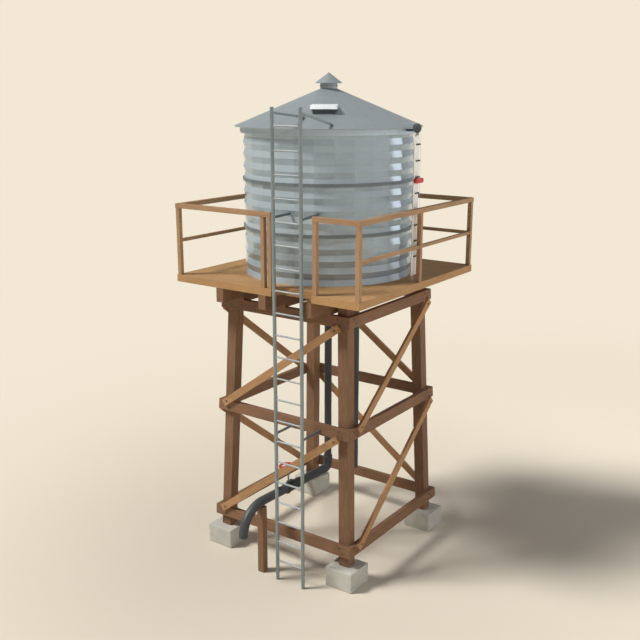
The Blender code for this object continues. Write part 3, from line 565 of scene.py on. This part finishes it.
# The railings: square posts screwed to the deck, a flat top rail over them and, but for the front, a
# thin one between them, all planed from wood like the deck's, a little greyer.
POST_LINE, POST_HALF, POST_EASE, SCREW_SINK = 1.50, 0.03, 0.003, 0.0066
RAIL_TOP, RAIL_FOOT, RAIL_HALF = DECK_TOP + 1.006, DECK_TOP + 0.941, 0.035
MID_RAIL, MID_RAIL_HEIGHT, MID_RAIL_HALF = DECK_TOP + 0.486, 0.046, 0.022
RAIL_PALE, RAIL_DARK = "B99572", "9B7855"
POST_WOOD = sawn_timber("planed_posts", RAIL_PALE, RAIL_DARK, (0, 0, 1), ring=0.011, contrast=0.7)
ACROSS_RAIL_WOOD = sawn_timber(
    "planed_rails_left_right", RAIL_PALE, RAIL_DARK, (1, 0, 0), ring=0.011, contrast=0.7
)
DEEP_RAIL_WOOD = sawn_timber(
    "planed_rails_front_back", RAIL_PALE, RAIL_DARK, (0, 1, 0), ring=0.011, contrast=0.7
)
outer, inner = POST_LINE + RAIL_HALF, POST_LINE - RAIL_HALF - HAIR
corner_face = POST_LINE - POST_HALF
notch_post = NOTCH_RIGHT + POST_HALF + 0.01
# For each side: its posts, the ends of its top rail, and how far its middle rail reaches each way.
RAILINGS = {
    "right": ((-POST_LINE, 0.0, POST_LINE), (-outer, outer), corner_face),
    "left": ((-POST_LINE, 0.0, POST_LINE), (-outer, outer), corner_face),
    "back": ((0.0,), (-inner, inner), corner_face - HAIR),
    "front_left": ((0.012, NOTCH_LEFT - POST_HALF), (-inner, NOTCH_LEFT), None),
    "front_right": ((notch_post,), (notch_post - POST_HALF, inner), None),
}


def rail_corners(side, along, across, low, high):
    """The two corners of a rail or post that lies along a side of the deck."""
    line = POST_LINE if side in ("right", "back") else -POST_LINE
    spans = [along, (line + across[0], line + across[1])]
    if side in ("right", "left"):
        spans.reverse()
    return (spans[0][0], spans[1][0], low), (spans[0][1], spans[1][1], high)


screws = bmesh.new()
for side, (posts, top_ends, mid_end) in RAILINGS.items():
    rail_wood = DEEP_RAIL_WOOD if side in ("right", "left") else ACROSS_RAIL_WOOD
    thick = (-POST_HALF, POST_HALF)
    bm = bmesh.new()
    for post in posts:
        wide = (post - POST_HALF, post + POST_HALF)
        board(bm, *rail_corners(side, wide, thick, DECK_TOP + HAIR, RAIL_FOOT), ease=POST_EASE)
        spot, _ = rail_corners(side, (post, post), (0.0, 0.0), RAIL_TOP - SCREW_SINK, RAIL_TOP)
        coach_bolt(screws, spot, (0, 0, 1), head=0.006, washer=0.010)
    finish_piece(f"rail_posts_{side}", bm, POST_WOOD, nodes=(f"railing_{side}",))
    bm = bmesh.new()
    board(bm, *rail_corners(side, top_ends, (-RAIL_HALF, RAIL_HALF), RAIL_FOOT, RAIL_TOP), ease=0.004)
    if mid_end:
        low, high = MID_RAIL - MID_RAIL_HEIGHT / 2, MID_RAIL + MID_RAIL_HEIGHT / 2
        for ends in ((-mid_end, -POST_HALF), (POST_HALF, mid_end)):
            corners = rail_corners(side, ends, (-MID_RAIL_HALF, MID_RAIL_HALF), low, high)
            board(bm, *corners, ease=POST_EASE)
    finish_piece(f"rails_{side}", bm, rail_wood)
finish_piece("railing_screws", screws, FIXING_STEEL, smooth=0.5)


# The tank: four curved sheets of corrugated galvanised steel, bolted together along upright seams, on a
# flat floor, with two hoops that are drawn tight by lugs at the back. It is 28-sided. The sheet's
# spangle is drawn at 30 mm, about twice the real size, so that it shows as soft mottling.
# Painted shade: the tank's faces that look down are tinted darker and bluer.
TANK_STEEL = galvanised(
    "galvanised_sheet", "C1CDD0", "B7C3C7", spangle=0.03, gloss=0.2, metal=0.32, streaks=0.35,
    downward_shade="DEE7F0",
)
# The hoops are a darker, bluer grey than the sheet.
HOOP_STEEL = galvanised("galvanised_hoop", "7F898D", "6C767A", spangle=0.012, gloss=0.42, metal=0.4)
FACETS, CREST, TANK_HEIGHT, CORRUGATIONS, HOOP_CRESTS = 28, 1.203, 2.0, 12, (4, 8)
HALF_FACET = math.pi / FACETS
GAUGE_SEAM, SEAMS, SEAM_STEP = 0.0, (90.0, 180.0, 270.0, 0.0), 2.4


def dress(node, surface):
    """Give a CAD node this finish."""
    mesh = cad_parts[node].data
    mesh.materials.clear()
    mesh.materials.append(surface)


for quarter in CORNERS:
    dress(f"tank_wall_{quarter}", TANK_STEEL)
dress("tank_floor", TANK_STEEL)
dress("hoop_lower", HOOP_STEEL)
dress("hoop_upper", HOOP_STEEL)
radius = CREST * math.cos(HALF_FACET) / math.cos(math.radians(SEAM_STEP) - HALF_FACET)
bm = bmesh.new()
for seam in SEAMS:
    for side in (-1, 1):
        if seam == GAUGE_SEAM and side < 0:
            continue
        out = toward(seam + side * SEAM_STEP)
        for crest in range(1, CORRUGATIONS):
            if crest not in HOOP_CRESTS:
                height = DECK_TOP + TANK_HEIGHT * crest / CORRUGATIONS
                coach_bolt(bm, out * radius + Vector((0.0, 0.0, height)), out, head=0.007, washer=0.012)
finish_piece("tank_seam_bolts", bm, TANK_STEEL, smooth=0.5)

# Each hoop's ends have a round lug, and a long bolt with two nuts draws them together.
LUG_TURN, LUG_FOOT, LUG_APART, LUG_OUT, LUG_HALF, LUG_RADIUS = 125.0, 1.212, 0.035, 0.012, 0.006, 0.019
DRAW_OUT, DRAW_HALF, DRAW_RADIUS = 0.014, 0.075, 0.006
NUT_NEAR, NUT_FAR, NUT_RADIUS = 0.043, 0.054, 0.011
out = toward(LUG_TURN)
across = Vector((-out.y, out.x, 0.0))
bm = bmesh.new()
for crest in HOOP_CRESTS:
    height = DECK_TOP + HAIR + TANK_HEIGHT * crest / CORRUGATIONS
    foot = out * LUG_FOOT + Vector((0.0, 0.0, height))
    draw = foot + out * DRAW_OUT
    for side in (-1, 1):
        lug = foot + across * (LUG_APART * side) + out * LUG_OUT
        round_bar(bm, lug - across * LUG_HALF, lug + across * LUG_HALF, LUG_RADIUS, 12)
        near, far = across * (NUT_NEAR * side), across * (NUT_FAR * side)
        round_bar(bm, draw + near, draw + far, NUT_RADIUS, 6)
    round_bar(bm, draw - across * DRAW_HALF, draw + across * DRAW_HALF, DRAW_RADIUS, 10)
finish_piece("hoop_lugs", bm, HOOP_STEEL, smooth=0.5)


# The roof: a cone of flat galvanised sheets that are lapped down their edges, with a band that sits
# over the wall, and a cowled vent riveted on its point. The band is coloured paler and bluer than the
# sheets, painted light that lifts it out of the eave's shadow.
ROOF_STEEL = galvanised(
    "galvanised_roof", "A1A9AB", "969FA1", spangle=0.03, gloss=0.42, metal=0.25, streaks=0.2
)
# Painted light: the band is coloured paler and bluer than the sheets, to lift it out of the eave's shadow.
BAND_PAINTED_LIGHT = galvanised("galvanised_band_painted_light", "C3D1DB", "B8C6D0", spangle=0.02, gloss=0.45, metal=0.2)
ROOF_POINT, ROOF_FALL = 6.80, 0.546 / 1.3185
BAND_RADIUS, BAND_MIDDLE, BAND_HEIGHT = 1.2412, 6.207, 0.082
RIVET_RADIUS, RIVET_HEIGHT, VENT_RADIUS, VENT_RIVET_HEIGHT = 1.2406, 6.190, 0.1175, 6.79
dress("roof", ROOF_STEEL)
dress("roof_vent", ROOF_STEEL)


def rivet_ring(bm, count, radius, height, head, washer):
    """Rivets in a level ring round the tank's middle."""
    for index in range(count):
        out = toward(360.0 / count * (index + 0.5))
        coach_bolt(bm, out * radius + Vector((0.0, 0.0, height)), out, head, washer)


bm = bmesh.new()
rivet_ring(bm, FACETS, RIVET_RADIUS * math.cos(HALF_FACET), RIVET_HEIGHT, head=0.005, washer=0.008)
bmesh.ops.create_cone(
    bm, cap_ends=False, segments=FACETS, radius1=BAND_RADIUS, radius2=BAND_RADIUS, depth=BAND_HEIGHT,
    matrix=Matrix.Translation((0.0, 0.0, BAND_MIDDLE)),
)
finish_piece("roof_band_rivets", bm, BAND_PAINTED_LIGHT, smooth=0.5)
bm = bmesh.new()
rivet_ring(bm, 14, VENT_RADIUS, VENT_RIVET_HEIGHT, head=0.004, washer=0.006)
finish_piece("vent_rivets", bm, FIXING_STEEL, smooth=0.5)


# The hatch: a folded sheet-steel lid, painted white, on a curb coloured dark grey as painted shade below
# the lid. It turns on a barrel hinge at its uphill edge, and has a flat bar handle on top. It is built
# pointing along X, then turned.
def brushed_paint(name, colour, worn, gloss=0.4, foot=None, foot_top=0.0):
    """Oil paint brushed on steel: an even colour with a soft sheen, slightly dirty and thin in places.

    Below the height foot_top it has the colour foot instead. Brush marks are drawn at 6 mm, to show."""
    made, tree, shader, where = new_finish(name)
    cloud = add(
        tree, "ShaderNodeTexNoise", {"Vector": where, "Scale": 14.0, "Detail": 6.0, "Roughness": 0.65}
    )
    spots = add(tree, "ShaderNodeMapRange", {0: cloud.outputs["Fac"], 1: 0.56, 2: 0.72, 3: 0.0, 4: 0.6})
    tint = add(
        tree, "ShaderNodeMix", {0: spots.outputs[0], 6: linear(colour), 7: linear(worn)}, data_type="RGBA"
    )
    if foot:
        rise = add(tree, "ShaderNodeSeparateXYZ", {0: where})
        upper = add(tree, "ShaderNodeMath", {0: rise.outputs[2], 1: foot_top}, operation="GREATER_THAN")
        tint = add(
            tree, "ShaderNodeMix", {0: upper.outputs[0], 6: linear(foot), 7: tint.outputs[2]},
            data_type="RGBA",
        )
    sheen = add(
        tree, "ShaderNodeMapRange",
        {0: cloud.outputs["Fac"], 1: 0.3, 2: 0.7, 3: gloss - 0.06, 4: gloss + 0.12},
    )
    fine = add(tree, "ShaderNodeTexNoise", {"Vector": where, "Scale": 160.0, "Detail": 2.0})
    bump = add(tree, "ShaderNodeBump", {"Strength": 0.08, "Distance": 0.0004, "Height": fine.outputs["Fac"]})
    tree.links.new(tint.outputs[2], shader.inputs["Base Color"])
    tree.links.new(sheen.outputs[0], shader.inputs["Roughness"])
    tree.links.new(bump.outputs[0], shader.inputs["Normal"])
    return made


# The lid is the cleanest white on the tower. The curb is coloured a dull dark grey, painted shade below the
# lid.
WHITE_PAINT = brushed_paint("white_oil_paint", "F5FBFD", "E9EEF0")
CURB_PAINTED_SHADE = brushed_paint("curb_painted_shade", "4A5255", "5C6262", gloss=0.5)
HATCH_PLACE = Matrix.Rotation(math.radians(-59.4), 4, "Z")
LID_NEAR, LID_FAR, LID_HALF, LID_BOTTOM, LID_TOP = 0.640, 0.914, 0.176, 6.491, 6.545
FLANGE_LEAN, LID_TAPER, LID_SHEET = 0.030, 0.004, 0.003
HINGE_RUN, HINGE_HEIGHT, HINGE_HALF, HINGE_RADIUS = 0.645, 6.5423, 0.170, 0.0078
HANDLE_RUN, HANDLE_HALF, HANDLE_HEIGHT, HANDLE_RADIUS = 0.80, 0.047, 6.5505, 0.0035
dress("hatch_curb", CURB_PAINTED_SHADE)
bm = bmesh.new()
bmesh.ops.create_cube(bm, size=1.0)
for vertex in bm.verts:
    high, far = vertex.co.z > 0, vertex.co.x > 0
    run = LID_FAR - (FLANGE_LEAN if high else 0.0) if far else LID_NEAR + (LID_TAPER if high else 0.0)
    half = LID_HALF - (LID_TAPER if high else 0.0)
    vertex.co = Vector((run, math.copysign(half, vertex.co.y), LID_TOP if high else LID_BOTTOM))
underside = min(bm.faces, key=lambda face: face.calc_center_median().z)
bmesh.ops.delete(bm, geom=[underside], context="FACES_ONLY")
ease_edges(bm, [edge for edge in bm.edges if not edge.is_boundary], 0.003, segments=3)
bmesh.ops.recalc_face_normals(bm, faces=bm.faces)
bmesh.ops.solidify(bm, geom=bm.faces, thickness=LID_SHEET)
hinge_ends = [(HINGE_RUN, side * HINGE_HALF, HINGE_HEIGHT) for side in (-1, 1)]
round_bar(bm, *hinge_ends, HINGE_RADIUS, 14)
bmesh.ops.transform(bm, matrix=HATCH_PLACE, verts=bm.verts)
finish_piece("folded_lid", bm, WHITE_PAINT, body="hatch_lid", nodes=("hatch_lid",), smooth=0.5)
bm = bmesh.new()
for side in (-0.04, 0.04):
    round_bar(bm, (HANDLE_RUN, side, 6.5442), (HANDLE_RUN, side, 6.5485), 0.006, 12)
handle_ends = [(HANDLE_RUN, side * HANDLE_HALF, HANDLE_HEIGHT) for side in (-1, 1)]
round_bar(bm, *handle_ends, HANDLE_RADIUS, 10)
bmesh.ops.transform(bm, matrix=HATCH_PLACE, verts=bm.verts)
finish_piece("lid_handle", bm, WHITE_PAINT, body="hatch_lid", smooth=0.6)


# The ladder: two galvanised tubes with 21 welded rungs, tied to the middle girt and the tank by
# welded standoffs, and to the roof by two stays with small foot plates.
# The stiles are a mid grey, the rungs a paler grey, the ties dull and dark.
LADDER_STEEL = galvanised("galvanised_tube", "9AA4A4", "838D8E", spangle=0.008, gloss=0.42, metal=0.5)
RUNG_STEEL = galvanised("galvanised_rung", "AEB5B7", "989FA2", spangle=0.008, gloss=0.55, metal=0.25)
TIE_STEEL = galvanised("dull_galvanised_ties", "747D80", "5E676A", spangle=0.008, gloss=0.5, metal=0.4)
LADDER_X, LADDER_Y, LADDER_TOP, STILE = (0.237, 0.680), -1.572, 6.53, 0.025
STAY, STAY_FOOT_Y, STAY_SHIFT, STAY_DROP, STAY_PLATE = 0.015, -0.97, 0.04, 0.07, 0.022
TIE, GIRT_TIE_HEIGHT, TANK_TIE_HEIGHT, TANK_TIE_LEAN = 0.018, 2.21, 5.158, 0.85
RUNGS, RUNG_PITCH, RUNG, WELD, WELD_LENGTH = 21, 0.30, 0.0125, 0.0185, 0.010


def facet_depth(across, radius):
    """Distance of the 28-sided tank's flat face in front of its middle, at this place across."""
    turn = math.atan2(math.sqrt(radius**2 - across**2), across)
    middle = (math.floor(turn / (2 * HALF_FACET)) + 0.5) * 2 * HALF_FACET
    return (radius * math.cos(HALF_FACET) - across * math.cos(middle)) / math.sin(middle)


def roof_at(across, along):
    """Height of the roof's flat facet over this place."""
    middle = (math.floor(math.atan2(along, across) / (2 * HALF_FACET)) + 0.5) * 2 * HALF_FACET
    run = across * math.cos(middle) + along * math.sin(middle)
    return ROOF_POINT - ROOF_FALL * run / math.cos(HALF_FACET)


ties = bmesh.new()
bm = bmesh.new()
for stile in LADDER_X:
    top, cap = (stile, LADDER_Y, LADDER_TOP - 0.004), (stile, LADDER_Y, LADDER_TOP)
    round_bar(bm, (stile, LADDER_Y, 0.0), top, STILE, 24)
    round_bar(bm, top, cap, STILE, 24, STILE * 0.8)
    tank_front = max(facet_depth(stile * TANK_TIE_LEAN + side * TIE, CREST) for side in (-1, 1))
    for height, far, lean in (
        (GIRT_TIE_HEIGHT, frame_half(GIRT_TIE_HEIGHT), 1.0), (TANK_TIE_HEIGHT, tank_front, TANK_TIE_LEAN)
    ):
        round_bar(ties, (stile, LADDER_Y + 0.01, height), (stile * lean, -far - 2 * HAIR, height), TIE, 16)
    foot_x = stile + STAY_SHIFT
    foot = Vector((foot_x, STAY_FOOT_Y, roof_at(foot_x, STAY_FOOT_Y) + STAY))
    round_bar(bm, (stile, LADDER_Y, LADDER_TOP - STAY_DROP), foot, STAY, 16)
    plate_foot, plate_top = Vector((0.0, 0.0, 0.002 - STAY)), Vector((0.0, 0.0, 0.002))
    round_bar(bm, foot + plate_foot, foot + plate_top, STAY_PLATE, 16)
finish_piece("ladder_stiles", bm, LADDER_STEEL, nodes=("ladder",), smooth=0.6)
finish_piece("ladder_ties", ties, TIE_STEEL, smooth=0.6)
bm = bmesh.new()
for index in range(RUNGS):
    height = RUNG_PITCH * (index + 1)
    round_bar(bm, (LADDER_X[0], LADDER_Y, height), (LADDER_X[1], LADDER_Y, height), RUNG, 14)
    for stile, inward in zip(LADDER_X, (1, -1)):
        start = stile + inward * (STILE - 0.003)
        end = start + inward * WELD_LENGTH
        round_bar(bm, (start, LADDER_Y, height), (end, LADDER_Y, height), WELD, 14, RUNG)
finish_piece("ladder_rungs", bm, RUNG_STEEL, smooth=0.6)


# The outlet: a dark plastic riser and run, joined by an elbow with sockets, down to a gate valve, and
# a swept discharge bend that rests on the short post. A second pipe drains the deck.
def moulded_pipe(name, colour, dusty, gloss=0.42):
    """Extruded polyethylene: dark, waxy and a little scuffed, with pale dust on its upper side."""
    made, tree, shader, where = new_finish(name)
    cloud = add(tree, "ShaderNodeTexNoise", {"Vector": where, "Scale": 11.0, "Detail": 6.0, "Roughness": 0.6})
    facing = add(tree, "ShaderNodeNewGeometry")
    up = add(tree, "ShaderNodeSeparateXYZ", {0: facing.outputs["Normal"]})
    upper = add(tree, "ShaderNodeMapRange", {0: up.outputs[2], 1: 0.1, 2: 1.0, 3: 0.0, 4: 0.16})
    dust = add(
        tree, "ShaderNodeMath", {0: cloud.outputs["Fac"], 1: 0.35, 2: upper.outputs[0]},
        operation="MULTIPLY_ADD",
    )
    tint = add(
        tree, "ShaderNodeMix", {0: dust.outputs[0], 6: linear(colour), 7: linear(dusty)}, data_type="RGBA"
    )
    satin = add(
        tree, "ShaderNodeMapRange",
        {0: cloud.outputs["Fac"], 1: 0.3, 2: 0.7, 3: gloss - 0.06, 4: gloss + 0.14},
    )
    tree.links.new(tint.outputs[2], shader.inputs["Base Color"])
    tree.links.new(satin.outputs[0], shader.inputs["Roughness"])
    return made


PIPE_PLASTIC = moulded_pipe("extruded_polyethylene", "34393C", "606363")
OUTLET_TURN = Matrix.Rotation(math.radians(-3.2), 4, "Z")
PIPE, RISER, RUN_HEIGHT, ELBOW, PIPE_SIDES, PIPE_WALL = 0.065, 0.0545, 1.092, 0.09, 28, 0.006
RISER_SHIFT, SHIFT_TOP, SHIFT_FOOT, SOCKET = (-0.125, 0.0, 0.0), 3.80, 3.62, RUN_HEIGHT + ELBOW + 0.10
SWEEP_START, SWEEP, VALVE_NEAR, VALVE_FAR = 1.50, 0.405, 0.67, 0.992
DRAIN_X, DRAIN, DRAIN_END = 0.49, 0.05, 1.22


def bend(centre, radius, start, end, count):
    """Points in the outlet's plane along an arc between two angles in degrees."""
    for index in range(count + 1):
        angle = math.radians(start + (end - start) * index / count)
        yield 0.0, centre[0] + radius * math.cos(angle), centre[1] + radius * math.sin(angle)


def swept_pipe(bm, points, radius, wall=0.0):
    """A pipe along points: rings joined one to the next, hollow if it has a wall and closed if not."""
    loops = []
    for bore in (radius, radius - wall) if wall else (radius,):
        rings = []
        for index, point in enumerate(points):
            before, after = points[max(index - 1, 0)], points[min(index + 1, len(points) - 1)]
            way = (Vector(after) - Vector(before)).normalized()
            side = (Vector((1.0, 0.0, 0.0)) - way * way.x).normalized()
            place = Matrix.Translation(point) @ Matrix((side, way.cross(side), way)).transposed().to_4x4()
            made = bmesh.ops.create_circle(bm, segments=PIPE_SIDES, radius=bore, matrix=place)
            rings.append(made["verts"])
        loops.append(rings)
        for ring, following in zip(rings, rings[1:]):
            here = set(ring + following)
            free = [edge for edge in bm.edges if edge.is_boundary or edge.is_wire]
            bmesh.ops.bridge_loops(bm, edges=[edge for edge in free if here.issuperset(edge.verts)])
    for end in (0, -1):
        here = {vertex for rings in loops for vertex in rings[end]}
        edges = [edge for edge in bm.edges if edge.is_boundary and here.issuperset(edge.verts)]
        if wall:
            bmesh.ops.bridge_loops(bm, edges=edges)
        else:
            bmesh.ops.edgeloop_fill(bm, edges=edges)


def collar(bm, start, end, radius, ease=0.003, sides=PIPE_SIDES):
    """A moulded collar round a pipe, with rounded rims."""
    start, end = Vector(start), Vector(end)
    way = (end - start).normalized() * ease
    round_bar(bm, start, start + way, radius - ease, sides, radius)
    round_bar(bm, start + way, end - way, radius, sides)
    round_bar(bm, end - way, end, radius, sides, radius - ease)


shift = OUTLET_TURN.inverted() @ Vector(RISER_SHIFT)
riser = [(shift.x, shift.y, UNDER_DECK - HAIR), (shift.x, shift.y, SHIFT_TOP), (0.0, 0.0, SHIFT_FOOT)]
run = [(0.0, 0.0, SOCKET), *bend((-ELBOW, RUN_HEIGHT + ELBOW), ELBOW, 0, -90, 12)]
bm = bmesh.new()
swept_pipe(bm, [*riser, (0.0, 0.0, SOCKET - 0.01)], RISER)
swept_pipe(bm, [*run, (0.0, -VALVE_NEAR + HAIR, RUN_HEIGHT)], PIPE)
collar(bm, (0.0, 0.0, SOCKET - 0.045), (0.0, 0.0, SOCKET + 0.012), PIPE + 0.003)
collar(bm, (0.0, -ELBOW - 0.02, RUN_HEIGHT), (0.0, -ELBOW - 0.085, RUN_HEIGHT), PIPE + 0.004)
bmesh.ops.transform(bm, matrix=OUTLET_TURN, verts=bm.verts)
finish_piece(
    "outlet_riser_and_run", bm, PIPE_PLASTIC, nodes=("outlet_pipe",), smooth=0.6
)
sweep = [(0.0, -VALVE_FAR - HAIR, RUN_HEIGHT), *bend((-SWEEP_START, RUN_HEIGHT - SWEEP), SWEEP, 90, 180, 30)]
bm = bmesh.new()
swept_pipe(bm, sweep, PIPE, wall=PIPE_WALL)
bmesh.ops.transform(bm, matrix=OUTLET_TURN, verts=bm.verts)
finish_piece("discharge_bend", bm, PIPE_PLASTIC, nodes=("discharge_pipe",), smooth=0.6)
bm = bmesh.new()
swept_pipe(bm, [(DRAIN_X, 0.0, UNDER_DECK - HAIR), (DRAIN_X, 0.0, DRAIN_END)], DRAIN, wall=PIPE_WALL)
finish_piece("drain", bm, PIPE_PLASTIC, nodes=("drain_pipe",), smooth=0.6)


# The valve: a dark cast body with a bolted flange and a bonnet. Its steel stem turns with a red
# handwheel of four spokes in a round rim. Iron paint is near black, the wheel's red dulled by hands.
CAST_IRON = brushed_paint("painted_cast_iron", "2B2F30", "43433F", gloss=0.45)
RED_PAINT = brushed_paint("red_oil_paint", "C8322B", "9C3A2E", gloss=0.38)
VALVE_OUT, BONNET_TOP, BARREL = 0.934, 1.192, 0.073
FLANGE_FACE, FLANGE, FLANGE_THICKNESS, FLANGE_BOLTS = -VALVE_FAR + 0.001, 0.083, 0.026, 8
BOLT_CIRCLE, BOLT_RADIUS, BONNET, CHEEK, CHEEK_BACK = 0.0765, 0.006, 0.030, 0.034, 0.07
WHEEL_HEIGHT, WHEEL, RIM, SPOKES, HUB = 1.418, 0.125, 0.016, 4, 0.022
bm = bmesh.new()
collar(bm, (0.0, -VALVE_NEAR, RUN_HEIGHT), (0.0, -VALVE_FAR, RUN_HEIGHT), BARREL, ease=0.006)
flange_ends = [(0.0, FLANGE_FACE + run, RUN_HEIGHT) for run in (0.0, FLANGE_THICKNESS)]
collar(bm, *flange_ends, FLANGE, ease=0.002)
for index in range(FLANGE_BOLTS):
    angle = math.radians(45.0 * index + 22.5)
    across, height = BOLT_CIRCLE * math.sin(angle), RUN_HEIGHT + BOLT_CIRCLE * math.cos(angle)
    bolt_ends = [(across, FLANGE_FACE + run, height) for run in (0.024, 0.034)]
    round_bar(bm, *bolt_ends, BOLT_RADIUS, 6)
collar(bm, (0.0, -VALVE_OUT, RUN_HEIGHT), (0.0, -VALVE_OUT, BONNET_TOP), BONNET, ease=0.004, sides=20)
cheek = -VALVE_OUT + CHEEK_BACK
collar(bm, (0.0, cheek, RUN_HEIGHT), (0.0, cheek, BONNET_TOP - 0.003), CHEEK, ease=0.006, sides=20)
bmesh.ops.transform(bm, matrix=OUTLET_TURN, verts=bm.verts)
finish_piece("valve_casting", bm, CAST_IRON, nodes=("valve_body",), smooth=0.6)

wheel_place = Matrix.Translation(OUTLET_TURN @ Vector((0.0, -VALVE_OUT, WHEEL_HEIGHT)))
bm = bmesh.new()
section = bmesh.ops.create_circle(
    bm, segments=14, radius=RIM,
    matrix=Matrix.Translation((WHEEL, 0.0, 0.0)) @ Matrix.Rotation(math.pi / 2, 4, "X"),
)
bmesh.ops.spin(
    bm, geom=section["verts"] + list(bm.edges), cent=(0, 0, 0), axis=(0, 0, 1), angle=2 * math.pi,
    steps=40, use_merge=True,
)
for index in range(SPOKES):
    out = toward(90.0 * index + 45.0)
    round_bar(bm, out * 0.015, out * (WHEEL - 0.006), 0.009, 12, 0.007)
collar(bm, (0.0, 0.0, -0.016), (0.0, 0.0, 0.012), HUB, ease=0.003, sides=20)
bmesh.ops.transform(bm, matrix=wheel_place, verts=bm.verts)
finish_piece(
    "handwheel_rim", bm, RED_PAINT, body="valve_handwheel", nodes=("valve_handwheel",),
    smooth=0.6,
)
bm = bmesh.new()
round_bar(bm, (0.0, 0.0, BONNET_TOP + HAIR - WHEEL_HEIGHT), (0.0, 0.0, -0.014), 0.012, 16)
round_bar(bm, (0.0, 0.0, 0.012), (0.0, 0.0, 0.018), 0.010, 6)
bmesh.ops.transform(bm, matrix=wheel_place, verts=bm.verts)
finish_piece("handwheel_stem", bm, FIXING_STEEL, body="valve_handwheel", smooth=0.6)


# The level gauge: a white board with black marks on a steel bar. A red marker slides on a wire that
# leads over a pulley into the roof. The bar's foot is pale paint, and its arm and the pulley dark.
DARK_STEEL = brushed_paint("dark_painted_steel", "454C4F", "595D5B", gloss=0.42)
BRACKET_PAINT = brushed_paint(
    "dark_arm_pale_bar_paint", "454C4F", "595D5B", gloss=0.42, foot="C4C0BC", foot_top=6.185
)
BOARD_PAINT = brushed_paint("aged_white_board_paint", "F6F4EC", "E8E4D8", gloss=0.5)
BLACK_PAINT = brushed_paint("black_gauge_paint", "26282A", "3A3B3B", gloss=0.5)
WIRE_STEEL = galvanised("bright_wire", "D8DAD6", "C6C9C5", spangle=0.004, gloss=0.5, metal=0.2)
MARKS, TOP_MARK, MARK_PITCH, MARK_HALF = 8, 6.038, 0.2134, 0.010
MARK_BACK, MARK_FACE, MARK_NEAR, MARK_FAR = 1.4203, 1.4293, -0.025, 0.090
eased_member("gauge_face_board", "gauge_board", 0.003, BOARD_PAINT)
dress("gauge_bracket", BRACKET_PAINT)
dress("gauge_wire", WIRE_STEEL)
bm = bmesh.new()
for index in range(MARKS):
    height = TOP_MARK - MARK_PITCH * index
    board(bm, (MARK_BACK, MARK_NEAR, height - MARK_HALF), (MARK_FACE, MARK_FAR, height + MARK_HALF))
finish_piece("gauge_marks", bm, BLACK_PAINT)

# The marker: a rounded red block, one long pill seen from the front.
bm = bmesh.new()
block(bm, *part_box("gauge_marker"))
ends = [edge for edge in bm.edges if abs((edge.verts[0].co - edge.verts[1].co).normalized().x) > 0.9]
ease_edges(bm, ends, 0.030, segments=8)
ease_edges(bm, [edge for edge in bm.edges if edge.calc_face_angle(0.0) > 1.0], 0.004)
finish_piece(
    "gauge_float_marker", bm, RED_PAINT, body="gauge_marker", nodes=("gauge_marker",), smooth=0.6
)

# The pulley: a turned steel sheave with a groove for the wire, spun from half of its outline.
PULLEY_X, PULLEY_Z, PULLEY, GROOVE, BORE = 1.415, 6.25, 0.063, 0.058, 0.009
outline = ((BORE, -0.010), (PULLEY - 0.003, -0.010), (PULLEY, -0.008), (PULLEY, -0.006), (GROOVE, -0.0025))
outline += tuple((radius, -height) for radius, height in reversed(outline))
bm = bmesh.new()
rim = [bm.verts.new((radius, 0.0, height)) for radius, height in outline]
loop = [bm.edges.new(pair) for pair in zip(rim, rim[1:] + rim[:1])]
bmesh.ops.spin(
    bm, geom=rim + loop, cent=(0, 0, 0), axis=(0, 0, 1), angle=2 * math.pi, steps=40, use_merge=True
)
pulley_place = Matrix.Translation((PULLEY_X, 0.0, PULLEY_Z)) @ Matrix.Rotation(math.pi / 2, 4, "X")
bmesh.ops.transform(bm, matrix=pulley_place, verts=bm.verts)
finish_piece(
    "gauge_sheave", bm, DARK_STEEL, body="gauge_pulley", nodes=("gauge_pulley",), smooth=0.6
)
